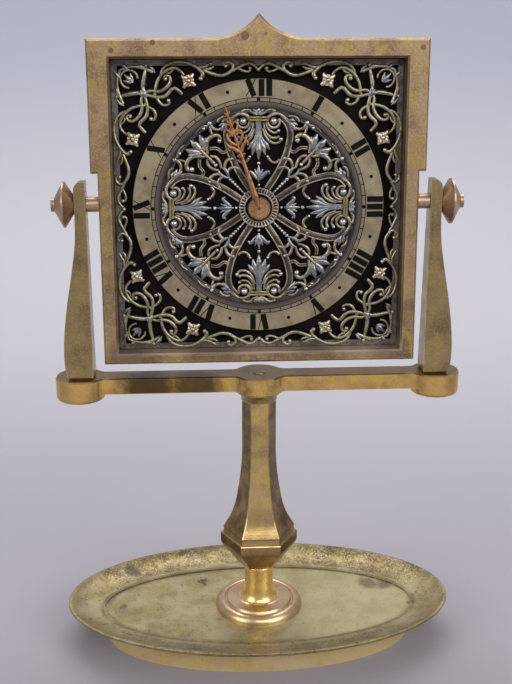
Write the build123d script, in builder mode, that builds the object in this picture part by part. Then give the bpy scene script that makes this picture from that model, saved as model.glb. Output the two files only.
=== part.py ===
from build123d import *
from math import cos, pi, radians, sin
import os

# Swing-frame desk clock: an oval pin tray carries a hexagonal baluster column and a cross bar.
# Two uprights on the bar hold a square clock case between thumb knobs, so that it can tilt.
# Millimetres. Z is up, the dial looks towards -Y, and the origin is under the middle of the foot.

os.makedirs("parts", exist_ok=True)

# Clearances
seat_gap = 0.03
running_gap = 0.06
face_gap = 0.15
end_shake = 0.2

# Oval tray
rim_half_length = 95.0
rim_half_width = 52.3
rim_height = 20.4
floor_half_length = 78.0
floor_half_width = 35.5
floor_height = 14.8
floor_step = 0.6
tray_wall = 2.0
underside_margin = 1.5
lip_thickness = 1.4
lip_band = 1.0
rim_sag = 1.2
foot_inset_ends = 3.8
foot_inset_sides = 0.4
foot_wall = 2.5

# Turned neck that stands on the tray
flange_radius = 21.7
flange_edge = 4.4
groove_radius = 16.5
groove_depth = 1.3
neck_radius = 6.0
neck_bead = 0.8
neck_bead_height = 2.2
neck_shank = 1.8
trumpet_height = 13.4

# Hexagonal baluster column, sizes across the flats
block_flats = 13.4
block_height = 5.1
cup_flats = 17.2
cup_height = 13.1
ring_flats = 33.1
ring_height = 2.7
cove_flats = 29.0
cove_height = 3.0
shaft_flats = 14.3
bell_height = 40.8
shaft_height = 25.5

# Collar between column and bar, and the rod that ties the stand together
cap_radius = 11.2
cap_foot_radius = 8.4
cap_height = 5.5
cap_edge = 1.0
rod_radius = 3.0
rod_dome = 0.5
nut_flats = 10.0
nut_height = 5.0
washer_radius = 9.0
washer_height = 1.2
rod_tail = 1.5

# Cross bar
bar_depth = 11.0
bar_height = 7.7
bar_round = 4.0
boss_lead = 1.1
end_boss_radius = 11.4
end_boss_drop = 3.1
boss_round = 1.6
centre_boss_radius = 12.0
bar_bevel = 0.6

# Uprights
upright_gap = 5.8
upright_top_width = 5.2
upright_waist_width = 5.6
upright_belly_width = 12.8
upright_foot_width = 11.4
upright_belly_height = 14.5
upright_waist_drop = 26.5
upright_crown = 10.2
upright_foot_depth = 13.5
upright_top_depth = 7.0
upright_top_round = 3.4
upright_foot_bevel = 1.0
bar_clearance = 8.1
screw_radius = 2.0
screw_head_radius = 3.8
screw_head_height = 1.0
screw_depth = 12.0

# Pivot studs and thumb knobs
stud_radius = 3.35
stud_pin_radius = 2.0
stud_root = 3.2
knob_radius = 10.2
knob_inner_radius = 3.9
knob_inner_length = 4.4
knob_outer_radius = 3.6
knob_outer_length = 4.0
knob_button_radius = 3.1
knob_button_length = 1.7
knob_rim = 0.7

# Case frame, measured from the pivot axis along the case
rest_tilt = 4.0
case_lower_half = 70.9
case_shoulder = 3.1
case_step_up = 13.8
case_top_up = 70.6
case_bottom_down = 72.2
crest_half = 21.0
crest_rise = 10.4
case_front = 6.0
case_depth = 14.0
case_bevel = 1.0
side_wall = 6.5
top_wall = 8.3
bottom_wall = 4.8
rebate_width = 2.0

# Dial
backing_depth = 4.0
backing_well = 2.0
ledge_band = 2.4
fret_thickness = 1.0
fret_stroke = 1.3
chapter_margin = 8.0
chapter_width = 12.3
chapter_thickness = 0.8
chapter_seat = 1.6
hub_petal_radius = 9.4
loop_margin = 6.0

# Back of the case
retainer_thickness = 1.2
retainer_lap = 3.8
retainer_hole = 30.0
drum_room = 6.575
drum_wall = 1.5
drum_length = 29.0
drum_flange_width = 8.5
drum_flange_thickness = 1.2
drum_ledge = 4.6
cover_thickness = 1.5
cover_spigot = 2.0
small_screw_radius = 1.0
small_head_radius = 1.9
small_head_height = 0.9

# Movement plates
front_plate_down = 5.0
plate_thickness = 2.0
plate_space = 14.0
back_plate_room = 6.0
pillar_inset = 4.0
pillar_radius = 2.2
pillar_pin_radius = 1.2
pillar_nut_height = 2.0
pillar_bearings = (0, 90, 155, 270)
movement_screw_bearings = (45, 165, 285)
drum_screw_bearings = (45, 135, 225, 315)

# Going train and motion work: teeth and module of each mesh
barrel_teeth = 72
centre_pinion_teeth = 12
barrel_module = 0.5
centre_teeth = 64
third_pinion_teeth = 8
centre_module = 0.45
third_teeth = 60
fourth_pinion_teeth = 8
third_module = 0.4
fourth_teeth = 64
escape_pinion_teeth = 8
fourth_module = 0.35
cannon_teeth = 12
minute_teeth = 36
cannon_module = 0.5
minute_pinion_teeth = 10
hour_teeth = 40
escape_teeth = 15
ratchet_teeth = 24
wheel_thickness = 1.4
pinion_extra = 0.8
arbor_radius = 0.95
arbor_pivot_radius = 0.7
centre_arbor_radius = 1.5
winding_arbor_radius = 1.5
cannon_pipe_radius = 2.1
hour_pipe_radius = 3.0
post_radius = 1.0
barrel_step = 1.1
barrel_height = 8.0
barrel_wall = 1.2
barrel_cover_thickness = 0.8
mainspring_thickness = 0.35
mainspring_turns = 9
barrel_hub_radius = 3.0
escape_radius = 6.0
escape_root_radius = 4.3
lever_distance = 8.2
pallet_clearance = 0.42
balance_distance = 11.0
balance_radius = 9.0
balance_rim = 1.4
roller_radius = 1.6
hairspring_radius = 6.0
hairspring_thickness = 0.25
hairspring_turns = 5
ratchet_radius = 6.0
ratchet_depth = 1.0
click_reach = 8.2
click_drop = 8.5
tooth_addendum = 0.85
tooth_dedendum = 1.2
mesh_opening = 0.1
window_shift = 0.4
window_rim = 1.6
window_spoke = 0.9

# Gaps from the plates to each layer of the train
centre_layer_gap = 1.0
escape_layer_gap = 3.4
third_layer_gap = 5.0
fourth_layer_gap = 8.0
balance_layer_gap = 7.8
great_layer_gap = 0.6
hairspring_drop = 2.4

# Bearings of the arbors, in degrees anticlockwise from three o'clock
barrel_bearing = 200.0
third_bearing = 20.0
fourth_bearing = 100.0
escape_bearing = 170.0
lever_bearing = 170.0
balance_bearing = 190.0
minute_bearing = 270.0

# Hands, key and setting knob
minute_hand_angle = 19.0
minute_hand_length = 49.0
minute_hand_hub = 4.4
hour_hand_length = 26.5
hour_hand_hub = 3.9
hand_thickness = 0.6
hand_spacing = 0.6
collet_radius = 5.2
collet_height = 0.9
key_width = 20.0
key_height = 9.0
key_thickness = 2.0
key_stem_radius = 3.0
key_stem_length = 4.0
set_knob_radius = 5.0
set_knob_length = 5.0
back_knob_gap = 1.0
back_knob_cap = 0.8
key_bore_cap = 0.5
back_arbor_cap = 1.0

# Widths and heights that follow from the case
ledge_depth = case_depth - backing_depth
opening_half = case_lower_half - side_wall
opening_top_up = case_top_up - top_wall
opening_bottom_down = case_bottom_down - bottom_wall
opening_tall_half = (opening_top_up + opening_bottom_down) / 2
dial_half = min(opening_half, opening_tall_half)
chapter_outer = dial_half - chapter_margin
chapter_inner = chapter_outer - chapter_width
case_upper_half = case_lower_half + case_shoulder
upright_inner = case_lower_half + upright_gap
boss_offset = upright_inner + upright_foot_width / 2 + boss_lead
pivot_above_bar = case_bottom_down + bar_clearance
upright_height = pivot_above_bar + upright_crown
upright_waist_height = upright_height - upright_waist_drop
neck_height = flange_edge - groove_depth + trumpet_height + neck_shank + neck_bead_height

# Sizes round the movement that follow from the great wheel
barrel_mesh = barrel_module * (barrel_teeth + centre_pinion_teeth) / 2
great_root = barrel_module * (barrel_teeth / 2 - tooth_dedendum)
great_tip = barrel_module * (barrel_teeth / 2 + tooth_addendum)
barrel_radius = great_root - barrel_step
drum_radius = barrel_mesh + great_tip + drum_room
drum_flange = drum_radius + drum_wall + drum_flange_width
back_plate_radius = drum_radius - back_plate_room
pillar_circle = back_plate_radius - pillar_inset

# Heights that stack up from the desk
underside_z = floor_height - tray_wall
block_z = floor_height + neck_height
cup_z = block_z + block_height
ring_z = cup_z + cup_height
cove_z = ring_z + ring_height
bell_z = cove_z + cove_height
shaft_z = bell_z + bell_height
cap_z = shaft_z + shaft_height
bar_z = cap_z + cap_height
bar_top = bar_z + bar_height
pivot_z = bar_top + pivot_above_bar
rod_hole = rod_radius + seat_gap

# Planes of the tilted case: local x is right, y runs up the case and z comes out to the viewer
tilt = radians(rest_tilt)
case_plane = Plane(origin=(0, 0, pivot_z), x_dir=(1, 0, 0), z_dir=(0, -cos(tilt), sin(tilt)))
dial_drop = opening_tall_half - opening_top_up
dial_origin = case_plane.from_local_coords(Vector(0, -dial_drop, 0))
dial_plane = Plane(origin=dial_origin, x_dir=(1, 0, 0), z_dir=case_plane.z_dir)

# Depths along the case normal, counted from the pivot axis
case_back = case_front - case_depth
ledge_w = case_front - ledge_depth
chapter_w = ledge_w + fret_thickness
hour_hand_w = chapter_w + chapter_thickness + hand_spacing
minute_hand_w = hour_hand_w + hand_thickness + hand_spacing
collet_w = minute_hand_w + hand_thickness
retainer_back = case_back - retainer_thickness
drum_back = retainer_back - drum_length
cover_back = drum_back - cover_thickness
front_plate_front = case_back - front_plate_down
front_plate_back = front_plate_front - plate_thickness
back_plate_front = front_plate_back - plate_space
back_plate_back = back_plate_front - plate_thickness


def export(piece, name):
    """Label a finished piece and write its file."""
    piece.part.label = name
    export_step(piece.part, f"parts/{name}.step")


def polar(start, distance, bearing):
    """Point at a distance and bearing from another point of the dial plane."""
    angle = radians(bearing)
    return (start[0] + distance * cos(angle), start[1] + distance * sin(angle))


def dial_turned(at, depth, angle):
    """Copy of the dial plane moved to a point and a depth, and turned about its normal."""
    return Plane(dial_plane.location * Location((at[0], at[1], depth), (0, 0, angle)))


def turned(plane, at, steps):
    """Turned piece: a stack of (radius, from, to) cylinders along the plane's normal."""
    with BuildPart() as piece:
        for radius, start, end in steps:
            with BuildSketch(plane.offset(start)):
                with Locations(at):
                    Circle(radius)
            extrude(amount=end - start)
    return piece


def tooth_points(teeth, module, bearing):
    """Outline of a toothed wheel with one tooth on the given bearing."""
    pitch = 2 * pi / teeth
    root = module * (teeth / 2 - tooth_dedendum)
    tip = module * (teeth / 2 + tooth_addendum)
    points = []
    for tooth in range(teeth):
        middle = radians(bearing) + tooth * pitch
        for radius, share in ((root, -0.27), (tip, -0.1), (tip, 0.1), (root, 0.27)):
            angle = middle + share * pitch
            points.append((radius * cos(angle), radius * sin(angle)))
    return points


def toothed(at, start, end, teeth, module, bearing, bore, windows=0):
    """Toothed wheel or pinion on the dial plane, with round windows in a large wheel."""
    outline = tooth_points(teeth, module, bearing)
    rim = module * (teeth / 2 - tooth_dedendum)
    window_circle = (rim + bore) / 2 + window_shift
    widest = window_circle * sin(pi / max(windows, 2)) - window_spoke
    window_radius = min((rim - bore) / 2 - window_rim, widest)
    with BuildPart() as piece:
        with BuildSketch(dial_plane.offset(start)):
            with Locations(at):
                Polygon(*outline, align=None)
                Circle(bore, mode=Mode.SUBTRACT)
            if windows:
                with Locations(at):
                    with PolarLocations(window_circle, windows):
                        Circle(window_radius, mode=Mode.SUBTRACT)
        extrude(amount=end - start)
    return piece


def spiral_strip(plane, at, inner, outer, turns, thickness, height):
    """Flat spiral spring of constant thickness."""
    count = 8 * turns
    sides = []
    for shift in (-thickness / 2, thickness / 2):
        side = []
        for step in range(count + 1):
            radius = inner + (outer - inner) * step / count + shift
            side.append(polar(at, radius, 45 * step))
        sides.append(side)
    with BuildPart() as piece:
        with BuildSketch(plane):
            with BuildLine():
                Spline(*sides[0])
                Spline(*sides[1])
                Line(sides[0][0], sides[1][0])
                Line(sides[0][-1], sides[1][-1])
            make_face()
        extrude(amount=height)
    return piece


# Oval dish with a hollow flared rim, a stepped flat floor and a hole for the tie rod
under_half_length = floor_half_length + underside_margin
under_half_width = floor_half_width + underside_margin
rim_mid_length = (floor_half_length + rim_half_length) / 2
rim_mid_width = (floor_half_width + rim_half_width) / 2
rim_mid_z = (floor_height + floor_step + rim_height) / 2 - rim_sag
with BuildPart() as tray:
    with BuildSketch(Plane.XY.offset(underside_z)):
        Ellipse(under_half_length, under_half_width)
    with BuildSketch(Plane.XY.offset(rim_mid_z - tray_wall)):
        Ellipse(rim_mid_length + underside_margin, rim_mid_width + underside_margin)
    with BuildSketch(Plane.XY.offset(rim_height - lip_band)):
        Ellipse(rim_half_length, rim_half_width)
    loft()
    with BuildSketch(Plane.XY.offset(rim_height - lip_band)):
        Ellipse(rim_half_length, rim_half_width)
    extrude(amount=lip_band)
    with BuildSketch(Plane.XY.offset(floor_height + floor_step)):
        Ellipse(floor_half_length, floor_half_width)
    with BuildSketch(Plane.XY.offset(rim_mid_z)):
        Ellipse(rim_mid_length, rim_mid_width)
    with BuildSketch(Plane.XY.offset(rim_height)):
        Ellipse(rim_half_length - lip_thickness, rim_half_width - lip_thickness)
    loft(mode=Mode.SUBTRACT)
    with BuildSketch(Plane.XY.offset(floor_height)):
        Ellipse(floor_half_length - floor_step, floor_half_width - floor_step)
    extrude(amount=2 * floor_step, mode=Mode.SUBTRACT)
    with Locations((0, 0, floor_height)):
        Hole(rod_hole)
    lip_edges = tray.edges().group_by(Axis.Z)[-1]
    fillet(lip_edges, lip_thickness / 3)
export(tray, "tray")

# Oval ring that the tray stands on
foot_half_length = under_half_length - foot_inset_ends
foot_half_width = under_half_width - foot_inset_sides
with BuildPart() as tray_foot:
    with BuildSketch():
        Ellipse(foot_half_length, foot_half_width)
        Ellipse(foot_half_length - foot_wall, foot_half_width - foot_wall, mode=Mode.SUBTRACT)
    extrude(amount=underside_z)
export(tray_foot, "tray_foot")

# Turned neck: half-round flange, groove, trumpet and top bead
flange_top = floor_height + flange_edge
groove_z = flange_top - groove_depth
trumpet_z = groove_z + trumpet_height
flange_flat = flange_radius - flange_edge / 2
with BuildPart() as column_foot:
    with BuildSketch(Plane.XZ):
        with BuildLine():
            Line((rod_hole, floor_height), (flange_flat, floor_height))
            edge_top = (flange_flat, flange_top)
            edge_mid = (flange_radius, floor_height + flange_edge / 2)
            ThreePointArc((flange_flat, floor_height), edge_mid, edge_top)
            Line(edge_top, (groove_radius, groove_z))
            trumpet_width = groove_radius - neck_radius
            trumpet_middle = (groove_radius, trumpet_z)
            EllipticalCenterArc(trumpet_middle, trumpet_width, trumpet_height, start_angle=180, arc_size=90)
            bead_z = block_z - neck_bead_height
            Line((neck_radius, trumpet_z), (neck_radius, bead_z))
            bead_mid = (neck_radius + neck_bead, bead_z + neck_bead_height / 2)
            ThreePointArc((neck_radius, bead_z), bead_mid, (neck_radius, block_z))
            Line((neck_radius, block_z), (rod_hole, block_z))
            Line((rod_hole, block_z), (rod_hole, floor_height))
        make_face()
    revolve(axis=Axis.Z)
export(column_foot, "column_foot")

# Hexagonal baluster: one profile planed across three directions, with a flat to the front
with BuildPart() as column:
    for turn in (0, 60, 120):
        with BuildSketch(Plane.YZ.rotated((0, 0, turn)).offset(-ring_flats)):
            with BuildLine():
                Line((0, block_z), (block_flats / 2, block_z))
                Line((block_flats / 2, block_z), (block_flats / 2, cup_z))
                Line((block_flats / 2, cup_z), (cup_flats / 2, cup_z))
                cup_flare = ring_flats - cup_flats
                cup_turn = (cup_flare**2 / 4 + cup_height**2) / cup_flare
                RadiusArc((cup_flats / 2, cup_z), (ring_flats / 2, ring_z), -cup_turn)
                Line((ring_flats / 2, ring_z), (ring_flats / 2, cove_z))
                Line((ring_flats / 2, cove_z), (cove_flats / 2, bell_z))
                bell_flare = cove_flats - shaft_flats
                bell_turn = (bell_flare**2 / 4 + bell_height**2) / bell_flare
                RadiusArc((cove_flats / 2, bell_z), (shaft_flats / 2, shaft_z), bell_turn)
                Line((shaft_flats / 2, shaft_z), (shaft_flats / 2, cap_z))
                Line((shaft_flats / 2, cap_z), (0, cap_z))
                Line((0, cap_z), (0, block_z))
            make_face()
            mirror(about=Plane.YZ)
        extrude(amount=2 * ring_flats, mode=Mode.ADD if turn == 0 else Mode.INTERSECT)
    with Locations((0, 0, cap_z)):
        Hole(rod_hole)
export(column, "column")

# Round flared collar under the bar
with BuildPart() as column_cap:
    with BuildSketch(Plane.XZ):
        with BuildLine():
            Line((rod_hole, cap_z), (cap_foot_radius, cap_z))
            cove_top = bar_z - cap_edge
            cove_width = cap_radius - cap_foot_radius
            cap_cove = cove_top - cap_z
            EllipticalCenterArc((cap_radius, cap_z), cove_width, cap_cove, start_angle=90, arc_size=90)
            Line((cap_radius, cove_top), (cap_radius, bar_z))
            Line((cap_radius, bar_z), (rod_hole, bar_z))
            Line((rod_hole, bar_z), (rod_hole, cap_z))
        make_face()
    revolve(axis=Axis.Z)
export(column_cap, "column_cap")

# Tie rod with its washer and nut under the tray
nut_z = underside_z - washer_height - nut_height
with BuildPart() as tie_rod:
    with BuildSketch(Plane.XY.offset(nut_z - rod_tail)):
        Circle(rod_radius)
    extrude(amount=bar_top + rod_dome - nut_z + rod_tail)
    fillet(tie_rod.edges().sort_by(Axis.Z)[-1], rod_dome * 0.8)
export(tie_rod, "tie_rod")

with BuildPart() as tie_washer:
    with BuildSketch(Plane.XY.offset(underside_z - washer_height)):
        Circle(washer_radius)
        Circle(rod_hole, mode=Mode.SUBTRACT)
    extrude(amount=washer_height)
export(tie_washer, "tie_washer")

with BuildPart() as tie_nut:
    with BuildSketch(Plane.XY.offset(nut_z)):
        RegularPolygon(nut_flats / 2, 6, major_radius=False)
        Circle(rod_hole, mode=Mode.SUBTRACT)
    extrude(amount=nut_height)
export(tie_nut, "tie_nut")

# Cross bar: flat bar with a round boss in the middle and a deeper one at each end
with BuildPart() as cross_bar:
    with BuildSketch(Plane.XY.offset(bar_z)) as bar_plan:
        Rectangle(2 * boss_offset, bar_depth)
        with Locations((-boss_offset, 0), (boss_offset, 0)):
            Circle(end_boss_radius)
        Circle(centre_boss_radius)
        inner_corners = bar_plan.vertices().filter_by(lambda corner: abs(corner.Y) < bar_depth * 0.6)
        inner_corners = inner_corners.filter_by(lambda corner: abs(corner.X) < boss_offset - bar_depth / 4)
        fillet(inner_corners, bar_round)
    extrude(amount=bar_height)
    chamfer(cross_bar.edges().group_by(Axis.Z)[-1], bar_bevel)
    with BuildSketch(Plane.XY.offset(bar_z - end_boss_drop)):
        with Locations((-boss_offset, 0), (boss_offset, 0)):
            Circle(end_boss_radius)
    extrude(amount=end_boss_drop)
    fillet(cross_bar.edges().group_by(Axis.Z)[0], boss_round)
    with Locations((0, 0, bar_top)):
        Hole(rod_hole)
    screw_x = upright_inner + upright_foot_width / 2
    with Locations((-screw_x, 0, bar_top), (screw_x, 0, bar_top)):
        Hole(screw_radius + seat_gap)
export(cross_bar, "cross_bar")

# Uprights: flat inner face, swelling outer face, tapering towards the top
upright_top = bar_top + upright_height


def make_upright(side):
    """One upright, drawn on the right and mirrored for the left."""
    inner = side * upright_inner

    def across(width):
        return inner + side * width

    with BuildPart() as upright:
        with BuildSketch(Plane.XZ):
            with BuildLine():
                foot = (across(upright_foot_width), bar_top)
                belly = (across(upright_belly_width), bar_top + upright_belly_height)
                waist = (across(upright_waist_width), bar_top + upright_waist_height)
                shoulder = (across(upright_top_width), upright_top - upright_top_round)
                Line((inner, bar_top), foot)
                Spline(foot, belly, waist, shoulder, tangents=[(side * 0.35, 1), (0, 1)])
                crown = (across(upright_top_width - upright_top_round), upright_top)
                RadiusArc(shoulder, crown, -side * upright_top_round)
                Line(crown, (inner, upright_top))
                Line((inner, upright_top), (inner, bar_top))
            make_face()
        extrude(amount=upright_foot_depth, both=True)
        with BuildSketch(Plane.YZ.offset(inner - 2 * upright_belly_width)):
            half_foot = upright_foot_depth / 2
            half_top = upright_top_depth / 2
            with BuildLine():
                Polyline(
                    (-half_foot, bar_top),
                    (half_foot, bar_top),
                    (half_top, upright_top),
                    (-half_top, upright_top),
                    close=True,
                )
            make_face()
        extrude(amount=4 * upright_belly_width, mode=Mode.INTERSECT)
        chamfer(upright.edges().group_by(Axis.Z)[0], upright_foot_bevel)
        with Locations(Plane(origin=(inner, 0, pivot_z), z_dir=(side, 0, 0))):
            Cylinder(stud_pin_radius + running_gap, 4 * upright_belly_width, mode=Mode.SUBTRACT)
        with Locations((inner + side * upright_foot_width / 2, 0, bar_top)):
            Cylinder(screw_radius + seat_gap, 2 * screw_depth, mode=Mode.SUBTRACT)
    return upright


upright_left = make_upright(-1)
upright_right = make_upright(1)
export(upright_left, "upright_left")
export(upright_right, "upright_right")

# Screws that come up through the end bosses into the uprights
boss_bottom = bar_z - end_boss_drop
with BuildPart() as upright_screws:
    for side in (-1, 1):
        with BuildSketch(Plane.XY.offset(boss_bottom - screw_head_height)):
            with Locations((side * screw_x, 0)):
                Circle(screw_head_radius)
        extrude(amount=screw_head_height)
        with BuildSketch(Plane.XY.offset(boss_bottom)):
            with Locations((side * screw_x, 0)):
                Circle(screw_radius)
        extrude(amount=bar_top - boss_bottom + screw_depth - end_shake)
export(upright_screws, "upright_screws")

# Case frame with stepped sides, an ogee crest, a bevelled opening and a rebate for the dial
rebate_half = opening_half + rebate_width
rebate_top = opening_top_up + rebate_width
rebate_bottom = opening_bottom_down + rebate_width
crest_turn = (crest_half**2 + crest_rise**2) / (2 * crest_rise)
with BuildPart() as case_frame:
    with BuildSketch(case_plane.offset(case_back)):
        with BuildLine():
            Polyline(
                (crest_half, case_top_up),
                (case_upper_half, case_top_up),
                (case_upper_half, case_step_up),
                (case_lower_half, case_step_up),
                (case_lower_half, -case_bottom_down),
                (-case_lower_half, -case_bottom_down),
                (-case_lower_half, case_step_up),
                (-case_upper_half, case_step_up),
                (-case_upper_half, case_top_up),
                (-crest_half, case_top_up),
            )
            crest_tip = (0, case_top_up + crest_rise)
            RadiusArc((-crest_half, case_top_up), crest_tip, -crest_turn)
            RadiusArc(crest_tip, (crest_half, case_top_up), -crest_turn)
        make_face()
    extrude(amount=case_depth)
    with BuildSketch(case_plane.offset(case_back)):
        with Locations((0, -dial_drop)):
            Rectangle(2 * opening_half, 2 * opening_tall_half)
    extrude(amount=case_depth, mode=Mode.SUBTRACT)
    front_edges = case_frame.faces().sort_by(Axis(dial_origin, case_plane.z_dir))[-1].edges()
    chamfer(front_edges, case_bevel)
    with BuildSketch(case_plane.offset(case_back)):
        with Locations((0, -dial_drop)):
            Rectangle(2 * rebate_half, rebate_top + rebate_bottom)
    extrude(amount=ledge_w - case_back, mode=Mode.SUBTRACT)
    for side in (-1, 1):
        with Locations(Plane(origin=(side * case_lower_half, 0, pivot_z), z_dir=(side, 0, 0))):
            Cylinder(stud_pin_radius + seat_gap, 2 * stud_root, mode=Mode.SUBTRACT)
    retainer_screw_x = (rebate_half + case_lower_half) / 2
    retainer_screw_heights = (-case_bottom_down * 0.7, case_top_up * 0.6)
    retainer_screw_spots = [(side * retainer_screw_x, y) for side in (-1, 1) for y in retainer_screw_heights]
    with BuildSketch(case_plane.offset(case_back)):
        with Locations(*retainer_screw_spots):
            Circle(small_screw_radius + seat_gap)
    extrude(amount=case_depth * 0.6, mode=Mode.SUBTRACT)
export(case_frame, "case_frame")


def make_stud(side):
    """Shouldered stud screwed into the case side, with a pin through the upright and into the knob."""
    base = Plane(origin=(side * case_lower_half, 0, pivot_z), z_dir=(side, 0, 0))
    shoulder = upright_inner - face_gap - case_lower_half
    pin_end = upright_inner + upright_top_width + knob_inner_length + knob_outer_length
    steps = ((stud_pin_radius, end_shake - stud_root, 0), (stud_radius, 0, shoulder))
    return turned(base, (0, 0), steps + ((stud_pin_radius, shoulder, pin_end - case_lower_half),))


pivot_stud_left = make_stud(-1)
pivot_stud_right = make_stud(1)
export(pivot_stud_left, "pivot_stud_left")
export(pivot_stud_right, "pivot_stud_right")


def make_knob(side):
    """Double-cone thumb knob with a raised button on its outer end."""
    start = upright_inner + upright_top_width + face_gap
    rim = start + knob_inner_length
    end = rim + knob_outer_length
    bore = stud_pin_radius + running_gap
    with BuildPart() as knob:
        with BuildSketch(Plane(origin=(0, 0, pivot_z), x_dir=(1, 0, 0), z_dir=(0, -1, 0))):
            with BuildLine():
                Polyline(
                    (side * start, bore),
                    (side * start, knob_inner_radius),
                    (side * (rim - knob_rim / 2), knob_radius),
                    (side * (rim + knob_rim / 2), knob_radius),
                    (side * end, knob_outer_radius),
                    (side * end, knob_button_radius),
                    (side * (end + knob_button_length), knob_button_radius),
                    (side * (end + knob_button_length), 0),
                    (side * (end + face_gap), 0),
                    (side * (end + face_gap), bore),
                    close=True,
                )
            make_face()
        revolve(axis=Axis((0, 0, pivot_z), (1, 0, 0)))
    return knob


knob_left = make_knob(-1)
knob_right = make_knob(1)
export(knob_left, "knob_left")
export(knob_right, "knob_right")

# Dark backing board behind the pierced dial, sunk under both frets
well_outer = opening_half - ledge_band
well_top = opening_top_up - ledge_band
well_bottom = opening_bottom_down - ledge_band
pipe_hole = hour_pipe_radius + 4 * running_gap
with BuildPart() as dial_backing:
    with BuildSketch(case_plane.offset(case_back)):
        with Locations((0, -dial_drop)):
            Rectangle(2 * (rebate_half - face_gap), rebate_top + rebate_bottom - 2 * face_gap)
    extrude(amount=backing_depth)
    with BuildSketch(dial_plane.offset(ledge_w - backing_well)):
        Rectangle(2 * well_outer, well_top + well_bottom)
        Circle(chapter_outer, mode=Mode.SUBTRACT)
        Circle(chapter_inner - chapter_seat)
        Circle(hub_petal_radius - chapter_seat, mode=Mode.SUBTRACT)
    extrude(amount=backing_well, mode=Mode.SUBTRACT)
    with BuildSketch(dial_plane.offset(case_back)):
        Circle(pipe_hole)
    extrude(amount=backing_depth, mode=Mode.SUBTRACT)
export(dial_backing, "dial_backing")

# Pierced corner plate: a border, a ring under the chapter ring and scrolls in the four corners
fret_half = opening_half - face_gap
fret_tall_half = opening_tall_half - face_gap
corner = dial_half - ledge_band
with BuildPart() as spandrel_plate:
    with BuildSketch(dial_plane.offset(ledge_w)):
        Rectangle(2 * fret_half, 2 * fret_tall_half)
        Rectangle(2 * well_outer, well_top + well_bottom, mode=Mode.SUBTRACT)
        Circle(chapter_outer + fret_stroke * 0.6)
        Circle(chapter_outer - chapter_seat, mode=Mode.SUBTRACT)
        scroll = chapter_outer / 10
        corner_reach = corner * 2**0.5
        bud = chapter_outer + 2.6 * scroll
        for reach, turn in ((fret_half, 0), (fret_tall_half, 90)):
            with PolarLocations(0, 2, start_angle=turn):
                with Locations(((chapter_outer + reach) / 2, 0)):
                    Rectangle(reach - chapter_outer, 2 * fret_stroke)
        with PolarLocations(0, 4, start_angle=45):
            with Locations((bud, 0)):
                Circle(0.9 * scroll)
                Circle(0.9 * scroll - fret_stroke, mode=Mode.SUBTRACT)
            with Locations(((chapter_outer + bud) / 2, 0)):
                Rectangle(bud - chapter_outer - scroll, fret_stroke)
            with Locations(((bud + corner_reach + scroll) / 2, 0)):
                Rectangle(corner_reach - bud - 0.6 * scroll, fret_stroke)
            for flank in (-1, 1):
                with Locations((chapter_outer - 0.1 * scroll, flank * 3.1 * scroll)):
                    Circle(1.5 * scroll)
                    Circle(1.5 * scroll - fret_stroke, mode=Mode.SUBTRACT)
                with Locations((chapter_outer + 0.85 * scroll, flank * 3.1 * scroll)):
                    Circle(0.5 * scroll)
        Circle(chapter_outer - chapter_seat, mode=Mode.SUBTRACT)
    extrude(amount=fret_thickness)
export(spandrel_plate, "spandrel_plate")

# Chapter ring
with BuildPart() as chapter_ring:
    with BuildSketch(dial_plane.offset(chapter_w)):
        Circle(chapter_outer)
        Circle(chapter_inner, mode=Mode.SUBTRACT)
    extrude(amount=chapter_thickness)
export(chapter_ring, "chapter_ring")

# Pierced centre: rim, hub and four pear-shaped loops, each holding a palmette, with leaves between
fret_rim = chapter_inner + chapter_seat
loop_end = chapter_inner - loop_margin
loop_half = loop_end * 0.385
with BuildPart() as centre_fret:
    with BuildSketch(dial_plane.offset(ledge_w)):
        Circle(fret_rim)
        Circle(chapter_inner - chapter_seat, mode=Mode.SUBTRACT)
        Circle(hub_petal_radius)
        for quarter in range(4):
            with BuildLine(Plane.XY.rotated((0, 0, 90 * quarter))):
                Spline(
                    (hub_petal_radius * 0.4, hub_petal_radius * 0.8),
                    (loop_half, loop_end * 0.8),
                    (0, loop_end + fret_stroke),
                    (-loop_half, loop_end * 0.8),
                    (-hub_petal_radius * 0.4, hub_petal_radius * 0.8),
                )
            trace(line_width=fret_stroke)
        with PolarLocations(0, 4, start_angle=90):
            with Locations((loop_end * 0.8, 0)):
                Rectangle(loop_end * 0.6, fret_stroke)
            with Locations((loop_end * 0.68, 0)):
                Ellipse(loop_end * 0.14, loop_end * 0.1)
            with Locations((loop_end + loop_margin / 2, 0)):
                Rectangle(loop_margin, 4 * fret_stroke)
        with PolarLocations(0, 4, start_angle=45):
            with Locations((chapter_inner / 2, 0)):
                Rectangle(chapter_inner, fret_stroke)
            with Locations((chapter_inner * 0.88, 0)):
                RegularPolygon(chapter_inner * 0.12, 5)
            for flank in (-1, 1):
                with Locations((chapter_inner * 0.72, flank * chapter_inner * 0.14)):
                    Circle(chapter_inner * 0.12)
                    Circle(chapter_inner * 0.12 - fret_stroke, mode=Mode.SUBTRACT)
        Circle(pipe_hole, mode=Mode.SUBTRACT)
    extrude(amount=fret_thickness)
export(centre_fret, "centre_fret")

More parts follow.
